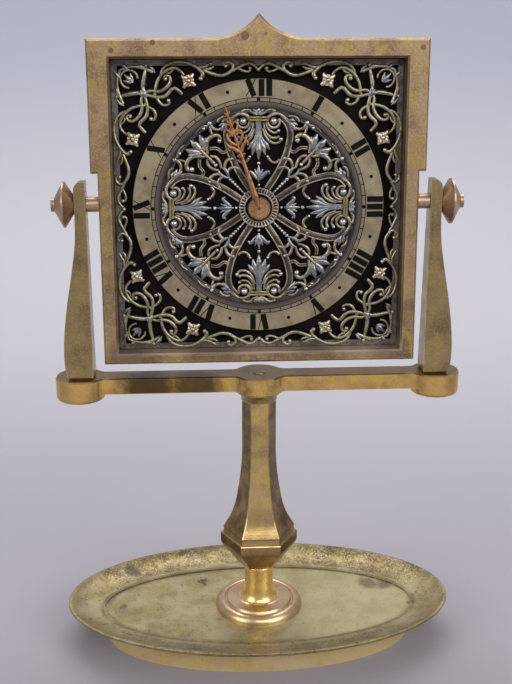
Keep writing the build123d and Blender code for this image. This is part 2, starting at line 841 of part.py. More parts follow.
# Square plate that keeps the dial in its rebate, with the drum's screws round its hole
drum_outer = drum_radius + drum_wall
drum_screw_circle = (drum_outer + drum_flange) / 2
drum_screw_spots = [polar((0, 0), drum_screw_circle, bearing) for bearing in drum_screw_bearings]
retainer_half = rebate_half + retainer_lap
retainer_tall = rebate_top + rebate_bottom + 2 * rebate_width
with BuildPart() as retainer_plate:
    with BuildSketch(dial_plane.offset(retainer_back)):
        Rectangle(2 * retainer_half, retainer_tall)
        Circle(retainer_hole, mode=Mode.SUBTRACT)
        with Locations(*drum_screw_spots):
            Circle(small_screw_radius + seat_gap, mode=Mode.SUBTRACT)
    extrude(amount=retainer_thickness)
    with BuildSketch(case_plane.offset(retainer_back)):
        with Locations(*retainer_screw_spots):
            Circle(small_screw_radius + seat_gap)
    extrude(amount=retainer_thickness, mode=Mode.SUBTRACT)
export(retainer_plate, "retainer_plate")


def make_screws(plane, spots, seat, grip):
    """Round-headed screws driven forwards from a seat at the given depth."""
    with BuildPart() as screws:
        with BuildSketch(plane.offset(seat - small_head_height)):
            with Locations(*spots):
                Circle(small_head_radius)
        extrude(amount=small_head_height)
        with BuildSketch(plane.offset(seat)):
            with Locations(*spots):
                Circle(small_screw_radius)
        extrude(amount=grip)
    return screws


retainer_screw_grip = retainer_thickness + case_depth * 0.5
retainer_screws = make_screws(case_plane, retainer_screw_spots, retainer_back, retainer_screw_grip)
export(retainer_screws, "retainer_screws")

# Round drum that houses the movement, with a screwed front flange and an inner ledge
movement_screw_circle = drum_radius - drum_ledge / 2
movement_screw_spots = [polar((0, 0), movement_screw_circle, bearing) for bearing in movement_screw_bearings]
with BuildPart() as drum_case:
    with BuildSketch(dial_plane.offset(retainer_back)):
        Circle(drum_outer)
        Circle(drum_radius - drum_ledge, mode=Mode.SUBTRACT)
    extrude(amount=drum_back - retainer_back)
    with BuildSketch(dial_plane.offset(retainer_back)):
        Circle(drum_flange)
        Circle(drum_outer, mode=Mode.SUBTRACT)
        with Locations(*drum_screw_spots):
            Circle(small_screw_radius + seat_gap, mode=Mode.SUBTRACT)
    extrude(amount=-drum_flange_thickness)
    with BuildSketch(dial_plane.offset(drum_back)):
        Circle(drum_radius)
    extrude(amount=front_plate_front - drum_back, mode=Mode.SUBTRACT)
    with BuildSketch(dial_plane.offset(front_plate_front)):
        with Locations(*movement_screw_spots):
            Circle(small_screw_radius + seat_gap)
    extrude(amount=retainer_back - front_plate_front, mode=Mode.SUBTRACT)
export(drum_case, "drum_case")

drum_screw_seat = retainer_back - drum_flange_thickness
drum_screw_grip = drum_flange_thickness + retainer_thickness
drum_screws = make_screws(dial_plane, drum_screw_spots, drum_screw_seat, drum_screw_grip)
export(drum_screws, "drum_screws")

# Arbor places on the dial plane
centre_spot = (0.0, 0.0)
centre_mesh = centre_module * (centre_teeth + third_pinion_teeth) / 2
third_mesh = third_module * (third_teeth + fourth_pinion_teeth + 4 * tooth_addendum) / 2 + mesh_opening
fourth_mesh = fourth_module * (fourth_teeth + escape_pinion_teeth) / 2
cannon_mesh = cannon_module * (cannon_teeth + minute_teeth) / 2
hour_module = 2 * cannon_mesh / (minute_pinion_teeth + hour_teeth)
barrel_spot = polar(centre_spot, barrel_mesh, barrel_bearing)
third_spot = polar(centre_spot, centre_mesh, third_bearing)
fourth_spot = polar(third_spot, third_mesh, fourth_bearing)
escape_spot = polar(fourth_spot, fourth_mesh, escape_bearing)
lever_spot = polar(escape_spot, lever_distance, lever_bearing)
balance_spot = polar(lever_spot, balance_distance, balance_bearing)
minute_spot = polar(centre_spot, cannon_mesh, minute_bearing)

# Snap-in back cover with holes for the winding arbor and the setting arbor
with BuildPart() as back_cover:
    with BuildSketch(dial_plane.offset(cover_back)):
        Circle(drum_outer)
    extrude(amount=cover_thickness)
    with BuildSketch(dial_plane.offset(drum_back)):
        Circle(drum_radius - seat_gap)
        Circle(drum_radius - seat_gap - drum_wall, mode=Mode.SUBTRACT)
    extrude(amount=cover_spigot)
    with BuildSketch(dial_plane.offset(cover_back)):
        with Locations(centre_spot):
            Circle(centre_arbor_radius + 5 * running_gap)
        with Locations(barrel_spot):
            Circle(winding_arbor_radius + 5 * running_gap)
    extrude(amount=cover_thickness, mode=Mode.SUBTRACT)
    cover_face = back_cover.faces().sort_by(Axis(dial_origin, dial_plane.z_dir))[0]
    fillet(cover_face.outer_wire().edges(), cover_thickness / 2)
export(back_cover, "back_cover")

# Movement plates, with the motion-work post on the front one and the click post on the back one
arbor_spots = [third_spot, fourth_spot, escape_spot, lever_spot, balance_spot]
pillar_spots = [polar(centre_spot, pillar_circle, bearing) for bearing in pillar_bearings]
front_plate_radius = drum_radius - 2 * seat_gap
motion_space = front_plate_front - case_back
with BuildPart() as front_plate:
    with BuildSketch(dial_plane.offset(front_plate_back)):
        Circle(front_plate_radius)
        with Locations(*arbor_spots):
            Circle(arbor_pivot_radius + running_gap, mode=Mode.SUBTRACT)
        with Locations(centre_spot):
            Circle(centre_arbor_radius + running_gap, mode=Mode.SUBTRACT)
        with Locations(barrel_spot):
            Circle(winding_arbor_radius + running_gap, mode=Mode.SUBTRACT)
        with Locations(*pillar_spots):
            Circle(pillar_pin_radius + seat_gap, mode=Mode.SUBTRACT)
        with Locations(*movement_screw_spots):
            Circle(small_screw_radius + seat_gap, mode=Mode.SUBTRACT)
    extrude(amount=plate_thickness)
    with BuildSketch(dial_plane.offset(front_plate_front)):
        with Locations(minute_spot):
            Circle(post_radius)
    extrude(amount=-motion_space - end_shake)
export(front_plate, "front_plate")

ratchet_w = back_plate_back - end_shake - wheel_thickness
click_spot = polar(polar(barrel_spot, click_reach, barrel_bearing), click_drop, barrel_bearing - 90)
with BuildPart() as back_plate:
    with BuildSketch(dial_plane.offset(back_plate_back)):
        Circle(back_plate_radius)
        with Locations(*arbor_spots):
            Circle(arbor_pivot_radius + running_gap, mode=Mode.SUBTRACT)
        with Locations(centre_spot):
            Circle(centre_arbor_radius + running_gap, mode=Mode.SUBTRACT)
        with Locations(barrel_spot):
            Circle(winding_arbor_radius + running_gap, mode=Mode.SUBTRACT)
        with Locations(*pillar_spots):
            Circle(pillar_pin_radius + seat_gap, mode=Mode.SUBTRACT)
    extrude(amount=plate_thickness)
    with BuildSketch(dial_plane.offset(ratchet_w)):
        with Locations(click_spot):
            Circle(post_radius)
    extrude(amount=back_plate_back - ratchet_w)
export(back_plate, "back_plate")

movement_screw_grip = retainer_back - front_plate_back - end_shake
movement_screws = make_screws(dial_plane, movement_screw_spots, front_plate_back, movement_screw_grip)
export(movement_screws, "movement_screws")

# Pillars with turned pins at both ends, and their nuts behind the back plate
pillar_steps = (
    (pillar_pin_radius, back_plate_back - pillar_nut_height, back_plate_front),
    (pillar_radius, back_plate_front, front_plate_back),
    (pillar_pin_radius, front_plate_back, front_plate_front),
)
pillars = [turned(dial_plane, spot, pillar_steps) for spot in pillar_spots]
with BuildPart() as plate_pillars:
    for pillar in pillars:
        add(pillar.part)
export(plate_pillars, "plate_pillars")

with BuildPart() as pillar_nuts:
    with BuildSketch(dial_plane.offset(back_plate_back - pillar_nut_height)):
        with Locations(*pillar_spots):
            RegularPolygon(pillar_radius, 6, major_radius=False)
            Circle(pillar_pin_radius + seat_gap, mode=Mode.SUBTRACT)
    extrude(amount=pillar_nut_height)
export(pillar_nuts, "pillar_nuts")

# Layers between the plates, counted back from the front plate
space_front = front_plate_back - end_shake
space_back = back_plate_front + end_shake
centre_layer = space_front - centre_layer_gap - wheel_thickness
escape_layer = space_front - escape_layer_gap - wheel_thickness
third_layer = space_front - third_layer_gap - wheel_thickness
fourth_layer = space_front - fourth_layer_gap - wheel_thickness
balance_layer = space_front - balance_layer_gap - wheel_thickness
great_layer = space_back + great_layer_gap
hairspring_layer = balance_layer - hairspring_drop
fit_bore = arbor_radius + seat_gap
centre_bore = centre_arbor_radius + seat_gap

# Mainspring barrel with the great wheel on its back, its cover and the spring
barrel_bore = winding_arbor_radius + running_gap
barrel_floor = great_layer + wheel_thickness
barrel_mouth = barrel_floor + barrel_height
barrel_tooth_bearing = barrel_bearing + 180
great_wheel = toothed(
    barrel_spot, great_layer, barrel_floor, barrel_teeth, barrel_module, barrel_tooth_bearing, barrel_bore
)
with BuildPart() as barrel:
    add(great_wheel.part)
    with BuildSketch(dial_plane.offset(barrel_floor)):
        with Locations(barrel_spot):
            Circle(barrel_radius)
            Circle(barrel_radius - barrel_wall, mode=Mode.SUBTRACT)
    extrude(amount=barrel_height)
export(barrel, "barrel")

cover_seat = barrel_radius - barrel_wall - seat_gap
with BuildPart() as barrel_cover:
    with BuildSketch(dial_plane.offset(barrel_mouth - barrel_cover_thickness)):
        with Locations(barrel_spot):
            Circle(cover_seat)
            Circle(barrel_bore, mode=Mode.SUBTRACT)
    extrude(amount=barrel_cover_thickness)
export(barrel_cover, "barrel_cover")

spring_height = barrel_height - barrel_cover_thickness - 2 * end_shake
mainspring = spiral_strip(
    dial_plane.offset(barrel_floor + end_shake),
    barrel_spot,
    barrel_hub_radius + mainspring_thickness + end_shake,
    barrel_radius - barrel_wall - mainspring_thickness,
    mainspring_turns,
    mainspring_thickness,
    spring_height,
)
export(mainspring, "mainspring")

# Winding arbor with its hub in the barrel, the ratchet wheel behind the back plate and the key
key_w = cover_back - back_knob_gap
hub_front = barrel_mouth - barrel_cover_thickness - end_shake
winding_steps = (
    (winding_arbor_radius, key_w - key_stem_length + back_arbor_cap, barrel_floor + end_shake),
    (barrel_hub_radius, barrel_floor + end_shake, hub_front),
    (winding_arbor_radius, hub_front, front_plate_front),
)
winding_arbor = turned(dial_plane, barrel_spot, winding_steps)
export(winding_arbor, "winding_arbor")

with BuildPart() as ratchet_wheel:
    with BuildSketch(dial_plane.offset(ratchet_w)):
        ratchet_points = []
        for tooth in range(ratchet_teeth):
            face_bearing = barrel_bearing + tooth * 360 / ratchet_teeth
            ratchet_points.append(polar(barrel_spot, ratchet_radius - ratchet_depth, face_bearing))
            ratchet_points.append(polar(barrel_spot, ratchet_radius, face_bearing))
        Polygon(*ratchet_points, align=None)
        with Locations(barrel_spot):
            Circle(winding_arbor_radius + seat_gap, mode=Mode.SUBTRACT)
    extrude(amount=wheel_thickness)
export(ratchet_wheel, "ratchet_wheel")

# Click whose beak rests behind a ratchet tooth
click_plane = dial_turned(barrel_spot, ratchet_w, barrel_bearing)
beak = ratchet_radius - ratchet_depth
with BuildPart() as click:
    with BuildSketch(click_plane):
        Polygon(
            (beak + 0.35, -0.45),
            (beak + 1.6, -0.45),
            (click_reach + 1.4, 0.9 - click_drop),
            (click_reach - 1.4, 0.9 - click_drop),
            (beak + 2.2, -2.6),
            align=None,
        )
        with Locations((click_reach, -click_drop)):
            Circle(post_radius + 0.9)
            Circle(post_radius + running_gap, mode=Mode.SUBTRACT)
    extrude(amount=wheel_thickness)
export(click, "click")

with BuildPart() as winding_key:
    with BuildSketch(dial_plane.offset(key_w)):
        with Locations(barrel_spot):
            Circle(key_stem_radius)
    extrude(amount=-key_stem_length)
    with BuildSketch(dial_plane.offset(key_w - key_stem_length)):
        with Locations(barrel_spot):
            SlotOverall(key_width, key_thickness)
    extrude(amount=-key_height / 2)
    with BuildSketch(dial_plane.offset(key_w)):
        with Locations(barrel_spot):
            Circle(winding_arbor_radius + seat_gap)
    extrude(amount=-key_stem_length + key_bore_cap, mode=Mode.SUBTRACT)
export(winding_key, "winding_key")

# Centre arbor: it carries the wheel, the pinion, the cannon pinion, the minute hand and the setting knob
set_knob_w = cover_back - back_knob_gap
arbor_tip = collet_w + collet_height / 2
pinion_half = (wheel_thickness + pinion_extra) / 2
great_middle = great_layer + wheel_thickness / 2
centre_steps = (
    (centre_arbor_radius, set_knob_w - set_knob_length + back_arbor_cap, space_back),
    (centre_arbor_radius * 1.3, space_back, great_middle - pinion_half),
    (centre_arbor_radius, great_middle - pinion_half, arbor_tip),
)
centre_pinion_bearing = barrel_bearing + 180 / centre_pinion_teeth
centre_shaft = turned(dial_plane, centre_spot, centre_steps)
with BuildPart() as centre_arbor:
    add(centre_shaft.part)
    with BuildSketch(dial_plane.offset(great_middle - pinion_half)):
        Polygon(*tooth_points(centre_pinion_teeth, barrel_module, centre_pinion_bearing), align=None)
    extrude(amount=2 * pinion_half)
export(centre_arbor, "centre_arbor")

centre_top = centre_layer + wheel_thickness
centre_wheel = toothed(
    centre_spot, centre_layer, centre_top, centre_teeth, centre_module, third_bearing, centre_bore, 5
)
export(centre_wheel, "centre_wheel")

# Cannon pinion and its pipe, which the minute hand sits on
cannon_back = front_plate_front + end_shake
cannon_top = cannon_back + wheel_thickness + pinion_extra / 2
cannon_leaves = toothed(
    centre_spot, cannon_back, cannon_top, cannon_teeth, cannon_module, minute_bearing, centre_bore
)
with BuildPart() as cannon_pinion:
    add(cannon_leaves.part)
    with BuildSketch(dial_plane.offset(cannon_top)):
        Circle(cannon_pipe_radius)
        Circle(centre_bore, mode=Mode.SUBTRACT)
    extrude(amount=minute_hand_w - cannon_top)
export(cannon_pinion, "cannon_pinion")

# Minute wheel and its pinion on the post of the front plate
post_bore = post_radius + running_gap
hour_layer = cannon_top + end_shake
hour_top = hour_layer + wheel_thickness * 0.7
minute_tooth_bearing = minute_bearing + 180 + 180 / minute_teeth
minute_top = cannon_back + wheel_thickness
minute_disc = toothed(
    minute_spot, cannon_back, minute_top, minute_teeth, cannon_module, minute_tooth_bearing, post_bore, 5
)
with BuildPart() as minute_wheel:
    add(minute_disc.part)
    with BuildSketch(dial_plane.offset(minute_top)):
        with Locations(minute_spot):
            Polygon(*tooth_points(minute_pinion_teeth, hour_module, minute_bearing + 180), align=None)
            Circle(post_bore, mode=Mode.SUBTRACT)
    extrude(amount=hour_top - minute_top)
export(minute_wheel, "minute_wheel")

# Hour wheel and its pipe, which turns on the cannon pipe
hour_bore = cannon_pipe_radius + running_gap
hour_tooth_bearing = minute_bearing + 180 / hour_teeth
hour_disc = toothed(
    centre_spot, hour_layer, hour_top, hour_teeth, hour_module, hour_tooth_bearing, hour_bore
)
with BuildPart() as hour_wheel:
    add(hour_disc.part)
    with BuildSketch(dial_plane.offset(hour_layer)):
        Circle(hour_pipe_radius)
        Circle(hour_bore, mode=Mode.SUBTRACT)
    extrude(amount=hour_hand_w - hour_layer)
export(hour_wheel, "hour_wheel")


def make_train_arbor(spot, pinion_teeth, module, pinion_bearing, pinion_layer):
    """Steel arbor pivoted in both plates, with a pinion cut on it."""
    middle = pinion_layer + wheel_thickness / 2
    shaft = turned(
        dial_plane,
        spot,
        (
            (arbor_pivot_radius, back_plate_back, space_back),
            (arbor_radius, space_back, space_front),
            (arbor_pivot_radius, space_front, front_plate_front),
        ),
    )
    with BuildPart() as arbor:
        add(shaft.part)
        with BuildSketch(dial_plane.offset(middle - pinion_half)):
            with Locations(spot):
                Polygon(*tooth_points(pinion_teeth, module, pinion_bearing), align=None)
        extrude(amount=2 * pinion_half)
    return arbor


third_pinion_bearing = third_bearing + 180 + 180 / third_pinion_teeth
third_arbor = make_train_arbor(
    third_spot, third_pinion_teeth, centre_module, third_pinion_bearing, centre_layer
)
export(third_arbor, "third_arbor")
third_top = third_layer + wheel_thickness
third_wheel = toothed(
    third_spot, third_layer, third_top, third_teeth, third_module, fourth_bearing, fit_bore, 5
)
export(third_wheel, "third_wheel")

fourth_pinion_bearing = fourth_bearing + 180 + 180 / fourth_pinion_teeth
fourth_arbor = make_train_arbor(
    fourth_spot, fourth_pinion_teeth, third_module, fourth_pinion_bearing, third_layer
)
export(fourth_arbor, "fourth_arbor")
fourth_top = fourth_layer + wheel_thickness
fourth_wheel = toothed(
    fourth_spot, fourth_layer, fourth_top, fourth_teeth, fourth_module, escape_bearing, fit_bore, 5
)
export(fourth_wheel, "fourth_wheel")

# Escapement: escape wheel, pallet lever and balance with its spring
escape_pinion_bearing = escape_bearing + 180 + 180 / escape_pinion_teeth
escape_arbor = make_train_arbor(
    escape_spot, escape_pinion_teeth, fourth_module, escape_pinion_bearing, fourth_layer
)
export(escape_arbor, "escape_arbor")

with BuildPart() as escape_wheel:
    with BuildSketch(dial_plane.offset(escape_layer)):
        escape_points = []
        for tooth in range(escape_teeth):
            tooth_bearing = tooth * 360 / escape_teeth
            escape_points.append(polar(escape_spot, escape_root_radius, tooth_bearing))
            escape_points.append(polar(escape_spot, escape_radius, tooth_bearing + 7))
            escape_points.append(polar(escape_spot, escape_radius, tooth_bearing + 9))
            escape_points.append(polar(escape_spot, escape_root_radius, tooth_bearing + 10))
        Polygon(*escape_points, align=None)
        with Locations(escape_spot):
            Circle(fit_bore, mode=Mode.SUBTRACT)
    extrude(amount=wheel_thickness)
export(escape_wheel, "escape_wheel")

# The lever is drawn with its x axis pointing from its pivot to the escape wheel
lever_plane = dial_turned(lever_spot, escape_layer, lever_bearing + 180)
pallet_span = 30.0
pallet_x = lever_distance - (escape_radius + pallet_clearance) * cos(radians(pallet_span))
pallet_y = (escape_radius + pallet_clearance) * sin(radians(pallet_span))
fork_length = balance_distance - roller_radius - 0.5
fork_turn = balance_bearing - lever_bearing
pallet_arbor = turned(
    dial_plane,
    lever_spot,
    (
        (arbor_pivot_radius, back_plate_back, space_back),
        (arbor_pivot_radius * 1.1, space_back, space_front),
        (arbor_pivot_radius, space_front, front_plate_front),
    ),
)
with BuildPart() as pallet_lever:
    add(pallet_arbor.part)
    with BuildSketch(lever_plane):
        Circle(arbor_radius)
        for flank in (-1, 1):
            reach = (pallet_x - 0.9, flank * (pallet_y + 0.9))
            Polygon((0, -flank * 0.5), (0, flank * 0.8), reach, (pallet_x, flank * pallet_y), align=None)
        with Locations(Location((0, 0, 0), (0, 0, 180 + fork_turn))):
            Polygon((0, -0.6), (fork_length, -0.45), (fork_length, 0.45), (0, 0.6), align=None)
    extrude(amount=wheel_thickness / 2)
export(pallet_lever, "pallet_lever")

balance_staff = turned(
    dial_plane,
    balance_spot,
    (
        (arbor_pivot_radius, back_plate_back, space_back),
        (arbor_radius, space_back, space_front),
        (roller_radius, escape_layer - 0.2, escape_layer + wheel_thickness),
        (arbor_pivot_radius, space_front, front_plate_front),
    ),
)
export(balance_staff, "balance_staff")

with BuildPart() as balance_wheel:
    with BuildSketch(dial_plane.offset(balance_layer)):
        with Locations(balance_spot):
            Circle(balance_radius)
            Circle(balance_radius - balance_rim, mode=Mode.SUBTRACT)
            Rectangle(2 * balance_radius - balance_rim, balance_rim)
            Circle(2 * arbor_radius)
            Circle(fit_bore, mode=Mode.SUBTRACT)
    extrude(amount=wheel_thickness)
export(balance_wheel, "balance_wheel")

hairspring = spiral_strip(
    dial_plane.offset(hairspring_layer),
    balance_spot,
    arbor_radius + hairspring_thickness,
    hairspring_radius,
    hairspring_turns,
    hairspring_thickness,
    wheel_thickness / 2,
)
export(hairspring, "hairspring")

# Setting knob on the back end of the centre arbor
with BuildPart() as set_knob:
    with BuildSketch(dial_plane.offset(set_knob_w)):
        Circle(set_knob_radius)
        with PolarLocations(set_knob_radius, 24):
            Circle(set_knob_radius / 16, mode=Mode.SUBTRACT)
    extrude(amount=-set_knob_length)
    with BuildSketch(dial_plane.offset(set_knob_w)):
        Circle(centre_bore)
    extrude(amount=-set_knob_length + back_knob_cap, mode=Mode.SUBTRACT)
export(set_knob, "set_knob")


# Hands, both pointing along the local y axis of a turned dial plane
hand_plane = dial_turned(centre_spot, 0, minute_hand_angle)
cluster_low = minute_hand_length * 0.57
cluster_high = minute_hand_length * 0.83
cluster_middle = (cluster_low + cluster_high) / 2
cluster_radius = (cluster_high - cluster_low) / 4
with BuildPart() as minute_hand:
    with BuildSketch(hand_plane.offset(minute_hand_w)):
        Circle(minute_hand_hub)
        Polygon((-1.6, 0), (-0.7, cluster_low + 0.6), (0.7, cluster_low + 0.6), (1.6, 0), align=None)
        with Locations((0, cluster_low + cluster_radius), (0, cluster_high - cluster_radius)):
            Circle(cluster_radius + 0.5)
            Circle(cluster_radius - 0.7, mode=Mode.SUBTRACT)
        with Locations((-cluster_radius, cluster_middle), (cluster_radius, cluster_middle)):
            Circle(cluster_radius * 0.75)
            Circle(cluster_radius * 0.75 - 1.1, mode=Mode.SUBTRACT)
        Polygon((-0.7, cluster_high - 0.5), (0, minute_hand_length), (0.7, cluster_high - 0.5), align=None)
        Circle(centre_bore, mode=Mode.SUBTRACT)
    extrude(amount=hand_thickness)
export(minute_hand, "minute_hand")

with BuildPart() as hour_hand:
    with BuildSketch(hand_plane.offset(hour_hand_w)):
        Circle(hour_hand_hub)
        Polygon((-1.3, 0), (0, hour_hand_length), (1.3, 0), align=None)
        with Locations((0, hour_hand_length * 0.9)):
            Rectangle(2.6, 0.9)
        Circle(hour_bore, mode=Mode.SUBTRACT)
    extrude(amount=hand_thickness)
export(hour_hand, "hour_hand")

# Round collet that holds the minute hand on the centre arbor
with BuildPart() as hand_collet:
    with BuildSketch(dial_plane.offset(collet_w)):
        Circle(collet_radius)
    extrude(amount=collet_height)
    with BuildSketch(dial_plane.offset(collet_w)):
        Circle(centre_bore)
    extrude(amount=collet_height / 2 + seat_gap, mode=Mode.SUBTRACT)
    collet_face = hand_collet.faces().sort_by(Axis(dial_origin, dial_plane.z_dir))[-1]
    fillet(collet_face.edges(), collet_height * 0.4)
export(hand_collet, "hand_collet")
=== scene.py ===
import math

import bpy
from mathutils import Matrix, Vector


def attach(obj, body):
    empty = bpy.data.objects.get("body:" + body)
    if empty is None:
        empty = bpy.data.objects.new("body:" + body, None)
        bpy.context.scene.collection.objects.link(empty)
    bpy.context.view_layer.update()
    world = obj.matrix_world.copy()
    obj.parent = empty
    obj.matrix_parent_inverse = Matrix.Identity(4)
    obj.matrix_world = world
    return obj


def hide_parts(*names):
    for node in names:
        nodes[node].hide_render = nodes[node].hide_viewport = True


# Looks of the swing-frame desk clock: patinated brass stand and case, pierced dial, hands and studio.
# The dial's ornament is drawn flat in millimetres, x to the right and y up from the dial's centre,
# and is then laid on the leaning dial.

MM = 0.001
# The case leans back about its pivot, and the dial's centre lies below the pivot
REST_TILT = math.radians(4.0)
PIVOT_HEIGHT = 219.0
DIAL_DROP = 2.55
# Levels of the faces on the dial, forward of its centre
FRET_LEVEL = -3.25
RING_FACE = -2.2
HOUR_HAND_LEVEL = -1.3
MINUTE_HAND_LEVEL = -0.1
COLLET_FACE = 1.1
CASE_FACE = 6.0
# Half width and half height of the opening in the case
OPENING = (64.4, 64.85)

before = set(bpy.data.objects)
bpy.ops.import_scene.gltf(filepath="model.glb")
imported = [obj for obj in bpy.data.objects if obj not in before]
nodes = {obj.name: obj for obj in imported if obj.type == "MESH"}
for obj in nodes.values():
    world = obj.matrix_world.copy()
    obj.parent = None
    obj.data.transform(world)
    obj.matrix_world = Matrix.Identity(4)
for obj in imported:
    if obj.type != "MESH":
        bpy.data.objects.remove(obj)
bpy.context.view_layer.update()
bpy.ops.object.select_all(action="DESELECT")

dial_middle = Vector((0, -DIAL_DROP * math.sin(REST_TILT), PIVOT_HEIGHT - DIAL_DROP * math.cos(REST_TILT)))
dial_middle *= MM
lean = Matrix.Rotation(math.pi / 2 - REST_TILT, 4, "X")
on_dial = Matrix.Translation(dial_middle) @ lean


def linear(code):
    """Linear colour with alpha from an sRGB hex code."""
    values = []
    for start in (1, 3, 5):
        value = int(code[start : start + 2], 16) / 255
        values.append(value / 12.92 if value <= 0.04045 else ((value + 0.055) / 1.055) ** 2.4)
    return (*values, 1.0)


def plug(tree, node, inputs):
    """Set a node's inputs: each takes another node, a socket, an sRGB hex code or a plain value."""
    for key, value in inputs.items():
        if isinstance(value, bpy.types.Node):
            value = next(out for out in value.outputs if out.enabled)
        if isinstance(value, bpy.types.NodeSocket):
            tree.links.new(value, node.inputs[key])
        elif isinstance(value, str):
            node.inputs[key].default_value = linear(value)
        else:
            node.inputs[key].default_value = value


def add(tree, kind, inputs, **settings):
    """Add a node with its settings and links."""
    node = tree.nodes.new("ShaderNode" + kind)
    for key, value in settings.items():
        setattr(node, key, value)
    plug(tree, node, inputs)
    return node


def noise(tree, coords, size, detail, rough):
    """Cloudy pattern with features of this size in millimetres."""
    scale = 1.0 / (size * MM)
    return add(tree, "TexNoise", {"Vector": coords, "Scale": scale, "Detail": detail, "Roughness": rough})


def ramp(tree, value, low, high, start=0.0, end=1.0):
    """Smooth change from start to end while a value goes from low to high."""
    inputs = {0: value, 1: low, 2: high, 3: start, 4: end}
    return add(tree, "MapRange", inputs, interpolation_type="SMOOTHSTEP")


def blend(tree, share, under, over):
    """Colour that goes from one to another by a share."""
    return add(tree, "Mix", {0: share, 6: under, 7: over}, data_type="RGBA")


def times(tree, first, second):
    """Product of two values."""
    return add(tree, "Math", {0: first, 1: second}, operation="MULTIPLY")


def flat_reach(tree, coords):
    """Distance from the upright axis of the given coordinates."""
    flat = add(tree, "VectorMath", {0: coords, 1: (1, 1, 0)}, operation="MULTIPLY")
    return add(tree, "VectorMath", {0: flat}, operation="LENGTH")


def new_finish(name):
    """Empty material with its tree, its shader and the piece's own coordinates."""
    finish = bpy.data.materials.new(name)
    finish.use_nodes = True
    tree = finish.node_tree
    shader = tree.nodes["Principled BSDF"]
    coords = add(tree, "TexCoord", {}).outputs["Object"]
    return finish, tree, shader, coords


RAGGED_SIZE = 4
RAGGED_REACH = 10


def ragged_blots(tree, coords, blots):
    """Share of ragged round marks, each given by its place and radius in millimetres and its strength."""
    ragged = noise(tree, coords, RAGGED_SIZE, 5.0, 0.65).outputs["Color"]
    shift = add(tree, "VectorMath", {0: ragged, 1: (0.5, 0.5, 0.5)}, operation="SUBTRACT")
    reach = add(tree, "VectorMath", {0: shift, 1: (RAGGED_REACH * MM,) * 3}, operation="MULTIPLY")
    moved = add(tree, "VectorMath", {0: coords, 1: reach}, operation="ADD")
    total = None
    for place, radius, strength in blots:
        away = add(tree, "VectorMath", {0: moved, 1: Vector(place) * MM}, operation="DISTANCE")
        mark = ramp(tree, away, radius * MM, 0.4 * radius * MM, end=strength)
        total = mark if total is None else add(tree, "Math", {0: total, 1: mark}, operation="MAXIMUM")
    return total


# Sizes of the brass's tarnish patches, gold patches, grain, pits and rubbed edges; the pale edges are partly
# a painted highlight
PATCH_SIZE = 15
GOLD_SIZE = 7
GRAIN_SIZE = 0.8
PIT_SIZE = 1.7
EDGE_RUB_AND_HIGHLIGHT = 0.7
# Puts the gold patches and the pits elsewhere than the tarnish patches
DRIFT = (0.31, 0.17, 0.23)


def patinated_brass(name, tones, rough, metallic=0.9, pitting=0.3, bumps=0.05, wear=0.8, marks=None):
    """Cast brass left to age: brown and golden patches, a fine grain of wear, dark pits and pale edges,
    partly rubbed and partly painted highlight.

    The eye sees a soft metal shine whose tone changes from patch to patch, with paler edges: wear and painted
    highlight.
    The grain is drawn coarser than the real one, so that it shows. Tones are the colours of tarnish, metal,
    gold patches, bright grain and edges, and pits. Marks are added by a function of the piece's own.
    """
    tarnish, metal, gold, bright, pit_colour = tones
    finish, tree, shader, coords = new_finish(name)
    patches = noise(tree, coords, PATCH_SIZE, 4.0, 0.6)
    drift = add(tree, "VectorMath", {0: coords, 1: DRIFT}, operation="ADD")
    gilded = noise(tree, drift, GOLD_SIZE, 4.0, 0.65)
    grain = noise(tree, coords, GRAIN_SIZE, 4.0, 0.7)
    pits = noise(tree, drift, PIT_SIZE, 3.0, 0.6)
    share = ramp(tree, patches, 0.35, 0.62)
    colour = blend(tree, share, tarnish, metal)
    share = ramp(tree, gilded, 0.45, 0.66, end=0.85)
    colour = blend(tree, share, colour, gold)
    fine = ramp(tree, grain, 0.42, 0.72)
    share = times(tree, fine, 0.35)
    colour = blend(tree, share, colour, bright)
    low = 0.8 - 0.26 * pitting
    share = ramp(tree, pits, low, low + 0.08, end=0.85)
    colour = blend(tree, share, colour, pit_colour)
    if marks:
        colour = marks(tree, coords, colour)
    # Pale edges found by the bevel shader: partly rubbed wear, partly a painted highlight along every edge
    rounded = add(tree, "Bevel", {"Radius": EDGE_RUB_AND_HIGHLIGHT * MM}, samples=6)
    face = add(tree, "NewGeometry", {}).outputs["Normal"]
    agree = add(tree, "VectorMath", {0: rounded, 1: face}, operation="DOT_PRODUCT")
    rubbed = ramp(tree, agree, 0.985, 0.86, end=wear)
    broken = ramp(tree, gilded, 0.36, 0.56, start=0.3)
    share = times(tree, rubbed, broken)
    colour = blend(tree, share, colour, bright)
    sheen = add(tree, "MapRange", {0: gilded, 3: rough + 0.14, 4: rough - 0.1})
    bump = add(tree, "Bump", {"Height": grain, "Strength": bumps, "Distance": 0.4 * MM})
    plug(tree, shader, {"Base Color": colour, "Roughness": sheen, "Normal": bump, "Metallic": metallic})
    return finish


def worn_plating(name, plate, worn, hollow, rough):
    """Thin silver or gilt plating on cast ornament: bright on top, rubbed and tarnished in between."""
    finish, tree, shader, coords = new_finish(name)
    wear = noise(tree, coords, 5, 3.0, 0.6)
    grain = noise(tree, coords, 0.9, 2.0, 0.5)
    share = ramp(tree, wear, 0.38, 0.66)
    colour = blend(tree, share, plate, worn)
    share = ramp(tree, grain, 0.55, 0.72)
    colour = blend(tree, share, colour, hollow)
    bump = add(tree, "Bump", {"Height": grain, "Strength": 0.1, "Distance": 0.2 * MM})
    plug(tree, shader, {"Base Color": colour, "Normal": bump, "Metallic": 0.9, "Roughness": rough})
    return finish


